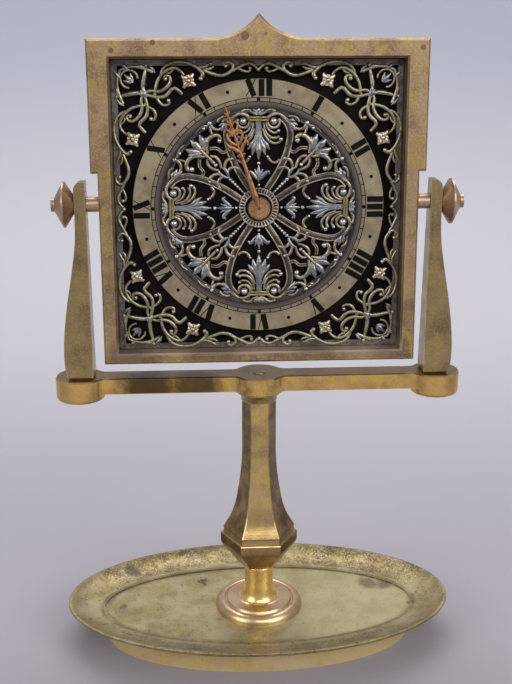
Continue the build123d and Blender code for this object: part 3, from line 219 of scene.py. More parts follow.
def dial_coordinates(tree, coords):
    """The piece's coordinates turned flat on the dial, with the dial's centre as origin."""
    shift = -(lean.to_3x3().transposed() @ dial_middle)
    upright = (REST_TILT - math.pi / 2, 0, 0)
    return add(tree, "Mapping", {"Vector": coords, "Rotation": upright, "Location": shift})


# Radii on the numeral ring between which its tone changes: minute track, inner band of painted shade, deeper
# painted shadow at the inner edge
TRACK_EDGE = (48.9, 48.2)
SHADE_BAND_EDGE = (46.9, 46.2)
SHADOW_EDGE = (45.8, 44.2)


def silvered_ring():
    """Numeral ring of silvered brass, tarnished to warm grey, with painted shade that darkens it towards its
    inner edge.
    """
    finish, tree, shader, coords = new_finish("silvered_brass_ring")
    radius = flat_reach(tree, dial_coordinates(tree, coords))
    tarnish = noise(tree, coords, 9, 5.0, 0.65)
    grain = noise(tree, coords, 0.9, 3.0, 0.6)
    share = ramp(tree, tarnish, 0.35, 0.65)
    colour = blend(tree, share, "#7d715c", "#978b71")
    share = ramp(tree, grain, 0.55, 0.8, end=0.7)
    colour = blend(tree, share, colour, "#6b5f50")
    share = ramp(tree, radius, TRACK_EDGE[0] * MM, TRACK_EDGE[1] * MM, end=0.5)
    colour = blend(tree, share, colour, "#6f655c")
    # Painted shade inside the minute track, deepening to a painted shadow at the ring's inner edge
    share = ramp(tree, radius, SHADE_BAND_EDGE[0] * MM, SHADE_BAND_EDGE[1] * MM)
    band = blend(tree, tarnish, "#4a413f", "#61574f")
    colour = blend(tree, share, colour, band)
    share = ramp(tree, radius, SHADOW_EDGE[0] * MM, SHADOW_EDGE[1] * MM)
    colour = blend(tree, share, colour, "#332b2b")
    plug(tree, shader, {"Base Color": colour, "Metallic": 0.5, "Roughness": 0.5})
    return finish


def plain_finish(name, base, speck, metallic, rough, speck_size, gloss=0.5):
    """Even finish with a faint speckle of a second tone."""
    finish, tree, shader, coords = new_finish(name)
    specks = noise(tree, coords, speck_size, 3.0, 0.5)
    share = ramp(tree, specks, 0.4, 0.7)
    colour = blend(tree, share, base, speck)
    plug(tree, shader, {"Base Color": colour, "Metallic": metallic})
    plug(tree, shader, {"Roughness": rough, "Specular IOR Level": gloss})
    return finish


# Stains on the tray: place, radius and strength
TRAY_BLOTS = (
    ((-65, 30, 19), 5.5, 0.95),
    ((-39, 45, 20), 3.2, 0.85),
    ((-28, 22, 15), 3.0, 0.8),
    ((58, 16, 15), 7.0, 0.6),
    ((66, 14, 15), 5.5, 0.6),
    ((77, -5, 15), 2.6, 0.6),
    ((-68, 0, 15), 2.2, 0.6),
    ((-31, -41, 19), 4.0, 0.5),
    ((30, -38, 18), 3.0, 0.4),
)
# Half axes of the oval floor
TRAY_FLOOR = (78.0, 35.5)


def tray_marks(tree, coords, colour):
    """Grime and painted shade in the corner round the tray's floor, a pitted back rim, painted light on the
    right of the floor and dark stains.
    """
    reach = flat_reach(tree, coords)
    oval_scale = (1 / (TRAY_FLOOR[0] * MM), 1 / (TRAY_FLOOR[1] * MM), 0)
    oval = add(tree, "VectorMath", {0: coords, 1: oval_scale}, operation="MULTIPLY")
    oval_reach = add(tree, "VectorMath", {0: oval}, operation="LENGTH")
    edge = add(tree, "Math", {0: reach, 1: oval_reach}, operation="DIVIDE")
    beyond = add(tree, "Math", {0: reach, 1: edge}, operation="SUBTRACT")
    # Darker corner round the floor where the rim rises: partly grime, partly painted shade
    inside = ramp(tree, beyond, -4.5 * MM, -0.6 * MM)
    outside = ramp(tree, beyond, 2.6 * MM, 0.2 * MM)
    corner = times(tree, inside, outside)
    cloud = noise(tree, coords, 8, 5.0, 0.7)
    patchy = ramp(tree, cloud, 0.3, 0.6, start=0.25, end=0.75)
    share = times(tree, corner, patchy)
    colour = blend(tree, share, colour, "#67573b")
    back = add(tree, "SeparateXYZ", {0: coords}).outputs["Y"]
    at_back = ramp(tree, back, 0.0, 26 * MM)
    on_rim = ramp(tree, beyond, 1.0 * MM, 5.0 * MM)
    pitted = times(tree, at_back, on_rim)
    at_front = ramp(tree, back, -14 * MM, -38 * MM, end=0.55)
    front_rim = times(tree, at_front, on_rim)
    pitted = add(tree, "Math", {0: pitted, 1: front_rim}, operation="ADD")
    pits = noise(tree, coords, 0.9, 5.0, 0.8)
    dark_pits = ramp(tree, pits, 0.38, 0.54, end=0.95)
    thick = ramp(tree, cloud, 0.35, 0.6, start=0.35, end=1.0)
    share = times(tree, pitted, dark_pits)
    share = times(tree, share, thick)
    colour = blend(tree, share, colour, "#54452f")
    # Painted light: the floor grows paler towards its right, as if lit more from that side
    side = add(tree, "SeparateXYZ", {0: coords}).outputs["X"]
    share = ramp(tree, side, -40 * MM, 60 * MM, end=0.4)
    floor_only = ramp(tree, beyond, 1.0 * MM, -3.0 * MM)
    share = times(tree, share, floor_only)
    colour = blend(tree, share, colour, "#cbbe96")
    stains = ragged_blots(tree, coords, TRAY_BLOTS)
    return blend(tree, stains, colour, "#4d443a")


CASE_BLOTS = (
    ((68, -8, 284), 3.5, 0.5),
    ((-70, -6, 220), 3.0, 0.4),
    ((40, -9, 147), 3.5, 0.5),
    ((-72, -4, 262), 4.0, 0.35),
    ((-60, -10, 148), 15.0, 0.55),
    ((-22, -10, 147), 17.0, 0.5),
    ((25, -10, 147), 15.0, 0.45),
    ((60, -10, 150), 12.0, 0.4),
    ((66, -8, 170), 10.0, 0.25),
)


def case_marks(tree, coords, colour):
    """Painted highlight on the lower edge of the opening and painted shade on its other inner walls, and
    brown patches where the case has been handled.
    """
    flat = add(tree, "VectorMath", {0: dial_coordinates(tree, coords)}, operation="ABSOLUTE")
    sides = add(tree, "SeparateXYZ", {0: flat})
    beyond_side = add(tree, "Math", {0: sides.outputs["X"], 1: OPENING[0] * MM}, operation="SUBTRACT")
    beyond_end = add(tree, "Math", {0: sides.outputs["Y"], 1: OPENING[1] * MM}, operation="SUBTRACT")
    beyond = add(tree, "Math", {0: beyond_side, 1: beyond_end}, operation="MAXIMUM")
    # Painted light on the opening's inner walls: bright along the bottom, dark brown shade on the sides and
    # top
    inside = ramp(tree, beyond, 0.9 * MM, 0.6 * MM, end=0.85)
    height = add(tree, "SeparateXYZ", {0: dial_coordinates(tree, coords)}).outputs["Y"]
    low = ramp(tree, height, -58 * MM, -64 * MM)
    painted_edge_light = blend(tree, low, "#5e4a38", "#e6d4c0")
    share = times(tree, inside, 0.75)
    colour = blend(tree, share, colour, painted_edge_light)
    return blend(tree, ragged_blots(tree, coords, CASE_BLOTS), colour, "#5a4634")


# Dark blots, most of them a painted dark reflection over the left half of the bar: place, radius and strength
BAR_DARK_REFLECTION_BLOTS = (
    ((-52, -8, 134), 19.0, 0.9),
    ((-30, -8, 134), 17.0, 0.85),
    ((-66, -8, 132), 6.0, 0.4),
    ((-8, -12, 132), 5.0, 0.5),
    ((60, -8, 132), 5.0, 0.25),
)


def bar_marks(tree, coords, colour):
    """Painted dark reflection over the left half of the bar, and painted shadow on its top under the case."""
    # Painted shadow on the faces that look up at the case
    facing = add(tree, "TexCoord", {}).outputs["Normal"]
    upward = add(tree, "SeparateXYZ", {0: facing}).outputs["Z"]
    share = ramp(tree, upward, 0.7, 0.95, end=0.6)
    colour = blend(tree, share, colour, "#5a4834")
    return blend(tree, ragged_blots(tree, coords, BAR_DARK_REFLECTION_BLOTS), colour, "#3e2f20")


def column_marks(tree, coords, colour):
    """Painted shade on the side facets of the column, and darker brown below its ring."""
    # Painted shade: facets that face the sides are darker than the front one
    facing = add(tree, "TexCoord", {}).outputs["Normal"]
    across = add(tree, "SeparateXYZ", {0: facing}).outputs["X"]
    shaded_sideways = add(tree, "Math", {0: across}, operation="ABSOLUTE")
    cloud = noise(tree, coords, 9, 4.0, 0.65)
    patchy = ramp(tree, cloud, 0.35, 0.65, start=0.85, end=0.45)
    side = ramp(tree, shaded_sideways, 0.4, 0.75)
    share = times(tree, side, patchy)
    colour = blend(tree, share, colour, "#4e3d2c")
    height = add(tree, "SeparateXYZ", {0: coords}).outputs["Z"]
    low = ramp(tree, height, 58 * MM, 48 * MM, end=0.8)
    share = times(tree, low, patchy)
    return blend(tree, share, colour, "#5f4632")


# Colours of each brass: tarnish, metal, gold patches, bright grain and edges (the edges partly a painted
# highlight), pits
stand_brass = patinated_brass(
    "patinated_cast_brass", ("#7b6a4b", "#9a8761", "#a68e5b", "#d0bb8e", "#463a28"), 0.28
)
column_brass = patinated_brass(
    "faceted_column_brass", ("#a68c5a", "#c4a772", "#d0af64", "#ecd7a6", "#5c4b32"), 0.2, marks=column_marks
)
bar_brass = patinated_brass(
    "rubbed_bar_brass",
    ("#b08f5a", "#cea865", "#d8ae57", "#f0d69c", "#5c4932"),
    0.18,
    pitting=0.1,
    marks=bar_marks,
)
case_brass = patinated_brass(
    "rubbed_case_brass",
    ("#7e654b", "#a68a6a", "#b39554", "#e0cea8", "#4d3b29"),
    0.32,
    metallic=0.8,
    pitting=0.45,
    wear=1.0,
    marks=case_marks,
)
tray_brass = patinated_brass(
    "stained_tray_brass",
    ("#8c7b56", "#aea07c", "#a4945c", "#c4b998", "#5a4c38"),
    0.44,
    metallic=0.8,
    pitting=0.75,
    bumps=0.1,
    wear=0.4,
    marks=tray_marks,
)
foot_brass = patinated_brass(
    "plain_foot_brass",
    ("#d8bd84", "#e6cf9c", "#e8cb7c", "#f2e0b4", "#9a8058"),
    0.3,
    metallic=0.5,
    pitting=0.1,
)
neck_brass = patinated_brass(
    "polished_neck_brass",
    ("#e8c27a", "#f2d08a", "#f4d47e", "#fcf0c8", "#b98a50"),
    0.24,
    pitting=0.0,
    bumps=0.02,
    wear=0.3,
)
flange_brass = patinated_brass(
    "rubbed_flange_brass",
    ("#bb9d76", "#ccb28e", "#d2b480", "#ecdab8", "#94704a"),
    0.3,
    pitting=0.05,
    bumps=0.03,
)
knob_brass = patinated_brass(
    "tarnished_knob_brass", ("#937966", "#b0957e", "#b69a6e", "#e0caa8", "#4d3d29"), 0.36
)
drum_brass = patinated_brass(
    "lacquered_drum_brass",
    ("#9d8458", "#b59a68", "#bda062", "#d9c496", "#5a4830"),
    0.26,
    pitting=0.0,
    bumps=0.02,
)

# Plain finishes have base and speck colours, metallic, roughness and speck size
# Platings have bright, worn and hollow colours and roughness
works_brass = plain_finish("satin_works_brass", "#b8924a", "#a07c3a", 1.0, 0.3, 3.0)
works_steel = plain_finish("blued_works_steel", "#6f7176", "#5a5c62", 1.0, 0.32, 2.0)
scroll_plating = worn_plating("champagne_scroll_plating", "#aba18c", "#877d6b", "#4d443a", 0.28)
corner_plating = worn_plating("olive_corner_plating", "#a39d86", "#868069", "#4e4939", 0.32)
leaf_plating = worn_plating("silver_leaf_plating", "#9a968f", "#757a88", "#454348", 0.3)
pearl_plating = worn_plating("bright_pearl_plating", "#c3c5c8", "#a6a5a2", "#5f5c58", 0.22)
flower_plating = worn_plating("rubbed_flower_plating", "#c8bca8", "#a4967e", "#5f543f", 0.32)
ribbon_plating = worn_plating("dark_ribbon_plating", "#57504e", "#413a3a", "#262122", 0.3)
hub_plating = worn_plating("grey_hub_plating", "#a89f92", "#8a8173", "#574f44", 0.36)
tie_plating = worn_plating("brass_tie_plating", "#a59763", "#857a50", "#514829", 0.34)
hand_gilding = worn_plating("copper_gilt", "#a97a56", "#8b6042", "#583a27", 0.42)
collet_gilding = worn_plating("gilt_collet", "#b08862", "#95704f", "#60442f", 0.42)
border_plating = worn_plating("tarnished_fret_border", "#77726e", "#57524f", "#3a3634", 0.5)
pin_brass = plain_finish("tarnished_case_pins", "#6d5040", "#7d6350", 0.5, 0.45, 1.0)
# Dark tone of the collet's face marks; its outline ring is a painted shadow line
collet_shadow = plain_finish("dark_marks_and_shadow_on_collet", "#3a2a1f", "#4a382b", 0.3, 0.5, 1.0)
ring_finish = silvered_ring()
board_finish = plain_finish("dark_dial_board", "#0e090a", "#1a0f11", 0.0, 0.75, 9.0, gloss=0.1)
enamel = plain_finish("black_numeral_enamel", "#090707", "#12100f", 0.0, 0.65, 2.0, gloss=0.1)

finishes = {
    stand_brass: ("column", "column_cap", "upright_left", "upright_right", "tie_rod"),
    foot_brass: ("tray_foot",),
    tray_brass: ("tray",),
    bar_brass: ("cross_bar",),
    case_brass: ("case_frame",),
    neck_brass: ("column_foot", "winding_key", "set_knob"),
    knob_brass: ("knob_left", "knob_right", "pivot_stud_left", "pivot_stud_right"),
    drum_brass: ("retainer_plate", "drum_case", "back_cover"),
    ring_finish: ("chapter_ring",),
    board_finish: ("dial_backing",),
    collet_gilding: ("hand_collet",),
    works_steel: (
        "tie_washer", "tie_nut", "upright_screws", "retainer_screws", "drum_screws", "movement_screws",
        "pillar_nuts", "centre_arbor", "cannon_pinion", "winding_arbor", "ratchet_wheel", "click",
        "third_arbor", "fourth_arbor", "escape_arbor", "pallet_lever", "balance_staff",
        "mainspring", "hairspring",
    ),
    works_brass: (
        "front_plate", "back_plate", "plate_pillars", "barrel", "barrel_cover", "balance_wheel",
        "centre_wheel", "minute_wheel", "hour_wheel", "third_wheel", "fourth_wheel", "escape_wheel",
    ),
}
for finish, names in finishes.items():
    for name in names:
        nodes[name].data.materials.clear()
        nodes[name].data.materials.append(finish)


def turn_point(point, angle):
    """Point turned anticlockwise about the dial's centre, in degrees."""
    c = math.cos(math.radians(angle))
    s = math.sin(math.radians(angle))
    return (c * point[0] - s * point[1], s * point[0] + c * point[1])


def round_path(radius):
    """Closed circle about the dial's centre."""
    return [turn_point((radius, 0), 15 * step) for step in range(25)]


def turned(strands, angle):
    """Strands turned anticlockwise about the dial's centre, in degrees."""
    return [([turn_point(point, angle) for point in path], sizes) for path, sizes in strands]


def quarter_turns(strands):
    """Copies of the strands at the four quarters of the dial."""
    copies = []
    for quarter in range(4):
        copies += turned(strands, 90 * quarter)
    return copies


def both_sides(strands):
    """Strands with their mirror images across the upright axis."""
    return strands + [([(-x, y) for x, y in path], sizes) for path, sizes in strands]


def both_flanks(strands):
    """Strands with their mirror images across the upper right diagonal."""
    return strands + [([(y, x) for x, y in path], sizes) for path, sizes in strands]


def both_ways(strands):
    """Strands drawn along the diagonal, with their mirror images across it."""
    return strands + [([(s, -t) for s, t in path], sizes) for path, sizes in strands]


def from_diagonal(strands):
    """Strands drawn along and across the diagonal, turned into the dial's own directions."""
    half = math.sqrt(0.5)
    return [([(half * (s - t), half * (s + t)) for s, t in path], sizes) for path, sizes in strands]


def placed(beads, angle):
    """Beads, given by place and radius, turned about the dial's centre."""
    return [(*turn_point((x, y), angle), radius) for x, y, radius in beads]


def edit_new(name):
    """Name the piece just added, apply its place and open it for editing with all of it selected."""
    piece = bpy.context.view_layer.objects.active
    piece.name = name
    bpy.ops.object.transform_apply()
    bpy.ops.object.mode_set(mode="EDIT")
    bpy.ops.mesh.select_all(action="SELECT")
    return piece


def close_edit():
    """Turn every face of the edited piece outwards and leave edit mode."""
    bpy.ops.mesh.select_all(action="SELECT")
    bpy.ops.mesh.normals_make_consistent(inside=False)
    bpy.ops.object.mode_set(mode="OBJECT")


def pick(piece):
    """Make a piece the only one selected, and the active one."""
    bpy.ops.object.select_all(action="DESELECT")
    piece.select_set(True)
    bpy.context.view_layer.objects.active = piece


# Gap between points that count as one, steps round a strand's section, depth at which a bead is cut flat
SAME_PLACE = 0.01
STRAND_SIDES = 2
BEAD_SINK = 0.45


def laid(piece, finish, body, slot, *replaced):
    """Lay a flat piece on the dial, give it its finish and let it ride on its body."""
    pick(piece)
    piece.matrix_world = on_dial
    bpy.ops.object.transform_apply()
    bpy.ops.object.select_all(action="DESELECT")
    piece.data.materials.clear()
    piece.data.materials.append(finish)
    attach(piece, body)
    if replaced:
        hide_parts(*replaced)


def on_fret(piece, finish, *replaced):
    """Lay a piece of the pierced ornament on the dial."""
    laid(piece, finish, "head", "fret_metal", *replaced)


def cast_strands(name, strands, level, flatten=0.75, fineness=4):
    """Cast openwork: round strands as one mesh, each a path with the radii at its points.

    A strand with fewer radii than points keeps its last one, and one that ends where it starts is a ring.
    """
    line = bpy.data.curves.new(name, "CURVE")
    line.dimensions = "3D"
    line.bevel_depth = MM
    line.bevel_resolution = STRAND_SIDES
    line.use_fill_caps = True
    line.resolution_u = fineness
    for path, sizes in strands:
        ring = math.dist(path[0], path[-1]) < SAME_PLACE
        if ring:
            path = path[:-1]
        spline = line.splines.new("BEZIER")
        spline.bezier_points.add(len(path) - 1)
        spline.use_cyclic_u = ring
        for index, (knot, point) in enumerate(zip(spline.bezier_points, path)):
            knot.co = (point[0] * MM, point[1] * MM, 0)
            knot.handle_left_type = "AUTO"
            knot.handle_right_type = "AUTO"
            knot.radius = sizes[min(index, len(sizes) - 1)]
    piece = bpy.data.objects.new(name, line)
    bpy.context.scene.collection.objects.link(piece)
    pick(piece)
    bpy.ops.object.convert(target="MESH")
    piece = bpy.context.view_layer.objects.active
    piece.scale = (1, 1, flatten)
    piece.location = (0, 0, level * MM)
    bpy.ops.object.transform_apply()
    bpy.ops.object.shade_smooth()
    return piece


def cast_beads(name, beads, level):
    """Round beads given as (x, y, radius), cut flat where they sit, as one mesh."""
    bpy.ops.object.select_all(action="DESELECT")
    for number, (x, y, radius) in enumerate(beads):
        bpy.ops.mesh.primitive_uv_sphere_add(
            segments=12, ring_count=8, radius=radius * MM, location=(x * MM, y * MM, level * MM)
        )
        if number == 0:
            piece = edit_new(name)
    bpy.ops.mesh.select_all(action="SELECT")
    seat = (0, 0, (level - BEAD_SINK) * MM)
    bpy.ops.mesh.bisect(plane_co=seat, plane_no=(0, 0, 1), clear_inner=True, use_fill=True)
    close_edit()
    bpy.ops.object.shade_smooth_by_angle(angle=math.radians(40))
    return piece


def flat_marks(name, bars, discs, rings, level, height):
    """Thin raised marks as one mesh.

    Bars are (x, y, turn in degrees, width, length), discs (x, y, radius) and rings (inner, outer radius).
    """
    bpy.ops.object.select_all(action="DESELECT")
    bpy.ops.mesh.primitive_plane_add(size=MM)
    piece = edit_new(name)
    bpy.ops.mesh.delete(type="VERT")
    for x, y, turn, width, length in bars:
        place = (x * MM, y * MM, 0)
        angle = math.radians(turn)
        bpy.ops.mesh.primitive_plane_add(size=MM, location=place, rotation=(0, 0, angle))
        bpy.ops.transform.resize(
            value=(width, length, 1),
            orient_type="GLOBAL",
            orient_matrix=Matrix.Rotation(angle, 3, "Z"),
            orient_matrix_type="GLOBAL",
            center_override=place,
        )
    for x, y, radius in discs:
        bpy.ops.mesh.primitive_circle_add(
            vertices=16, radius=radius * MM, fill_type="NGON", location=(x * MM, y * MM, 0)
        )
    for inner, outer in rings:
        bpy.ops.mesh.primitive_circle_add(vertices=120, radius=inner * MM)
        bpy.ops.mesh.extrude_edges_move()
        bpy.ops.transform.resize(value=(outer / inner, outer / inner, 1), center_override=(0, 0, 0))
    bpy.ops.mesh.select_all(action="SELECT")
    bpy.ops.mesh.normals_make_consistent(inside=False)
    bpy.ops.mesh.extrude_region_move(TRANSFORM_OT_translate={"value": (0, 0, height * MM)})
    close_edit()
    piece.location = (0, 0, level * MM)
    bpy.ops.object.transform_apply()
    return piece


def abreast(path, offsets, size):
    """Thin strands side by side along one path, offset to its right by the given distances."""
    strands = []
    for offset in offsets:
        strand = []
        for index, point in enumerate(path):
            before = Vector(path[max(index - 1, 0)])
            after = Vector(path[min(index + 1, len(path) - 1)])
            along = (after - before).normalized()
            strand.append((point[0] + along.y * offset, point[1] - along.x * offset))
        strands.append((strand, [size]))
    return strands


# Dial centre: four pear-shaped ribbon loops that end in volutes round pearls, tied by a bar
loop_path = [(3.9, 8.4), (8.4, 15.3), (11.8, 22.2), (13.6, 28.3), (14.1, 33.0), (12.6, 37.4), (9.8, 40.0)]
volute = [(12.8, 37.6), (9.9, 40.9), (6.7, 41.3), (4.2, 39.4)]
volute += [(4.4, 36.6), (6.8, 35.3), (9.2, 36.8), (9.0, 39.0)]
RIM_CIRCLES = (42.2, 43.1, 44.0)
ribbons = quarter_turns(both_sides([(loop_path, [1.2])]))
ribbons += [(round_path(radius), [0.5]) for radius in RIM_CIRCLES]
ribbon_piece = cast_strands("centre_ribbons", ribbons, FRET_LEVEL, flatten=0.4)
on_fret(ribbon_piece, ribbon_plating, "centre_fret")

tendrils = abreast(loop_path, (-1.2, 1.2), 0.34) + [
    (volute, [0.4, 0.75, 0.85, 0.8, 0.75, 0.7, 0.65, 0.5]),
    ([(2.2, 37.5), (3.0, 33.8), (5.0, 31.4), (7.4, 30.8), (9.3, 31.4)], [0.5, 0.6, 0.65, 0.6, 0.7]),
    ([(1.8, 35.0), (3.2, 31.4), (5.6, 29.0), (8.2, 28.6), (9.8, 29.4)], [0.45, 0.6, 0.65, 0.6, 0.7]),
    ([(3.0, 37.4), (4.2, 34.8), (6.0, 33.4), (7.8, 33.2), (8.8, 33.8)], [0.45, 0.5, 0.55, 0.5, 0.55]),
    ([(9.4, 21.4), (7.6, 20.1), (5.7, 20.5), (4.2, 22.4)], [0.6, 0.65, 0.6, 0.7]),
    ([(7.6, 42.4), (5.4, 43.2), (3.6, 42.6), (2.6, 41.6)], [0.75, 0.7, 0.6, 0.45]),
    ([(16.2, 35.2), (18.4, 34.6), (20.6, 35.6), (21.6, 37.2)], [0.55, 0.75, 0.8, 0.9]),
    ([(13.4, 40.2), (15.6, 40.2), (17.4, 39.2), (18.0, 37.8)], [0.5, 0.6, 0.6, 0.5]),
]
diagonal_scrolls = [
    (
        [(33.0, 1.0), (35.2, 2.6), (37.0, 5.0), (37.0, 8.0), (35.2, 10.0), (33.4, 9.8)],
        [0.6, 0.85, 1.0, 1.05, 1.0, 0.85],
    ),
    ([(22.8, 1.2), (24.4, 3.4), (24.8, 5.4), (23.8, 7.0)], [0.6, 0.75, 0.8, 0.7]),
    ([(21.0, 1.0), (21.4, 3.4), (20.2, 5.4), (18.4, 6.0)], [0.6, 0.75, 0.7, 0.55]),
    ([(24.4, 0.8), (27.0, 2.2), (29.6, 2.4), (31.6, 1.0)], [0.6, 0.7, 0.7, 0.55]),
    ([(43.0, 3.4), (43.4, 6.0), (42.6, 8.4), (41.6, 9.8)], [0.4, 0.5, 0.55, 0.6]),
    ([(37.4, 8.4), (39.6, 9.4), (41.2, 11.0)], [0.5, 0.6, 0.4]),
]
bracket = [(27.6, 8.8), (28.6, 6.2), (31.6, 5.6), (34.0, 3.2)]
diagonal_scrolls = both_ways(diagonal_scrolls + abreast(bracket, (-0.45, 0.45), 0.32))
diagonal_scrolls.append(([(8.4, 0.0), (14.0, 0.0), (20.0, 0.0)], [0.35]))
diagonal_scrolls.append(([(28.0, 0.0), (31.0, 0.0), (35.0, 0.0)], [0.7]))
centre_scrolls = quarter_turns(both_sides(tendrils) + from_diagonal(diagonal_scrolls))
on_fret(cast_strands("centre_scrolls", centre_scrolls, FRET_LEVEL + 0.15), scroll_plating)

palmette = both_sides(
    [
        ([(0.5, 38.6), (0.55, 32.6), (0.9, 29.8), (2.2, 26.4), (2.9, 23.4)], [0.28, 0.36, 0.65, 1.4, 0.3]),
        ([(1.0, 38.6), (1.1, 33.0), (1.7, 30.4), (3.5, 27.8), (4.9, 25.8)], [0.25, 0.34, 0.5, 1.2, 0.3]),
        ([(0.5, 12.6), (1.6, 13.8), (3.0, 15.4), (4.2, 16.0), (4.8, 15.0)], [0.6, 0.9, 0.95, 0.8, 0.4]),
        ([(0.4, 13.4), (1.1, 15.4), (1.8, 17.2)], [0.5, 0.8, 0.2]),
        ([(13.2, 37.6), (14.6, 36.8), (15.6, 35.4), (16.6, 34.0)], [0.4, 1.1, 1.0, 0.2]),
        ([(14.0, 36.6), (15.8, 37.0), (17.4, 36.4)], [0.4, 0.95, 0.2]),
        ([(13.0, 38.4), (14.8, 38.6), (16.2, 38.0)], [0.4, 0.8, 0.2]),
        ([(0.4, 41.0), (1.5, 42.6), (2.4, 43.5)], [0.4, 0.9, 0.25]),
        ([(0.6, 40.8), (2.0, 41.6), (3.2, 42.2)], [0.4, 0.8, 0.25]),
    ]
)
palmette.append(([(0, 38.8), (0, 32.4), (0, 28.8), (0, 25.4), (0, 21.4)], [0.35, 0.42, 0.8, 1.5, 0.3]))
palmette.append(([(0, 18.7), (0, 16.4), (0, 14.0), (0, 11.4)], [0.25, 0.9, 1.25, 0.3]))
palmette.append(([(0, 41.0), (0, 42.8), (0, 44.1)], [0.4, 0.95, 0.25]))
blossom = both_ways(
    [
        ([(35.2, 0.5), (37.4, 2.2), (39.4, 3.6), (41.4, 4.4)], [0.5, 1.4, 1.5, 0.35]),
        ([(35.0, 0.6), (36.2, 2.6), (37.4, 4.4), (38.6, 5.4)], [0.5, 1.2, 1.2, 0.3]),
        ([(19.2, 0.4), (21.0, 1.2), (23.0, 1.5), (24.6, 0.8)], [0.35, 0.85, 0.75, 0.25]),
    ]
)
blossom.append(([(35.2, 0.0), (38.0, 0.0), (40.4, 0.0), (42.6, 0.0)], [0.6, 1.5, 1.7, 0.35]))
centre_leaves = quarter_turns(palmette + from_diagonal(blossom))
on_fret(cast_strands("centre_leaves", centre_leaves, FRET_LEVEL + 0.3, flatten=0.55), leaf_plating)

TIE_REACH = 4.4
TIE_HEIGHTS = (39.8, 38.6)
tie_bars = [([(-TIE_REACH, y), (0, y), (TIE_REACH, y)], [0.62]) for y in TIE_HEIGHTS]
blossom_hearts = from_diagonal([([(34.6, 0.0), (35.8, 0.0), (37.4, 0.0)], [0.5, 0.7, 0.2])])
ties = quarter_turns(tie_bars + blossom_hearts)
on_fret(cast_strands("centre_ties", ties, FRET_LEVEL + 0.85), tie_plating)

# Petals round the hub, between two rings given by radius and thickness
HUB_PETALS = 36
HUB_RINGS = ((6.3, 0.45), (8.6, 0.4))
hub_petal = [([(0, 6.2), (0, 7.8), (0, 8.9)], [0.35, 0.5, 0.65])]
hub_petals = []
for petal in range(HUB_PETALS):
    hub_petals += turned(hub_petal, petal * 360 / HUB_PETALS)
hub_petals += [(round_path(radius), [size]) for radius, size in HUB_RINGS]
on_fret(cast_strands("hub_petals", hub_petals, FRET_LEVEL + 0.4), hub_plating)

# Beads of a quarter: on its axis, on both sides of it, on both sides of the diagonal, and a row along that
AXIS_BEADS = ((0, 19.8, 0.95), (0, 10.2, 0.75))
SIDE_BEADS = ((6.8, 38.2, 1.75), (10.0, 30.3, 1.05), (9.0, 34.0, 0.8), (21.6, 37.4, 1.2), (4.0, 22.7, 0.75))
DIAGONAL_BEADS = ((33.3, 8.8, 1.3), (42.0, 7.6, 0.9), (23.8, 7.2, 0.8))
TIP_BEAD = (27.0, 0, 0.95)
bead_row = [(8.9 + 1.5 * count, 0, 0.5 + 0.08 * count) for count in range(7)]
centre_beads = []
for quarter in range(4):
    upright = 90 * quarter
    diagonal = 45 + upright
    centre_beads += placed(AXIS_BEADS, upright)
    for side in (-1, 1):
        centre_beads += placed([(side * x, y, radius) for x, y, radius in SIDE_BEADS], upright)
        centre_beads += placed([(s, side * t, radius) for s, t, radius in DIAGONAL_BEADS], diagonal)
    centre_beads += placed([*bead_row, TIP_BEAD], diagonal)
on_fret(cast_beads("centre_beads", centre_beads, FRET_LEVEL + 0.35), pearl_plating)

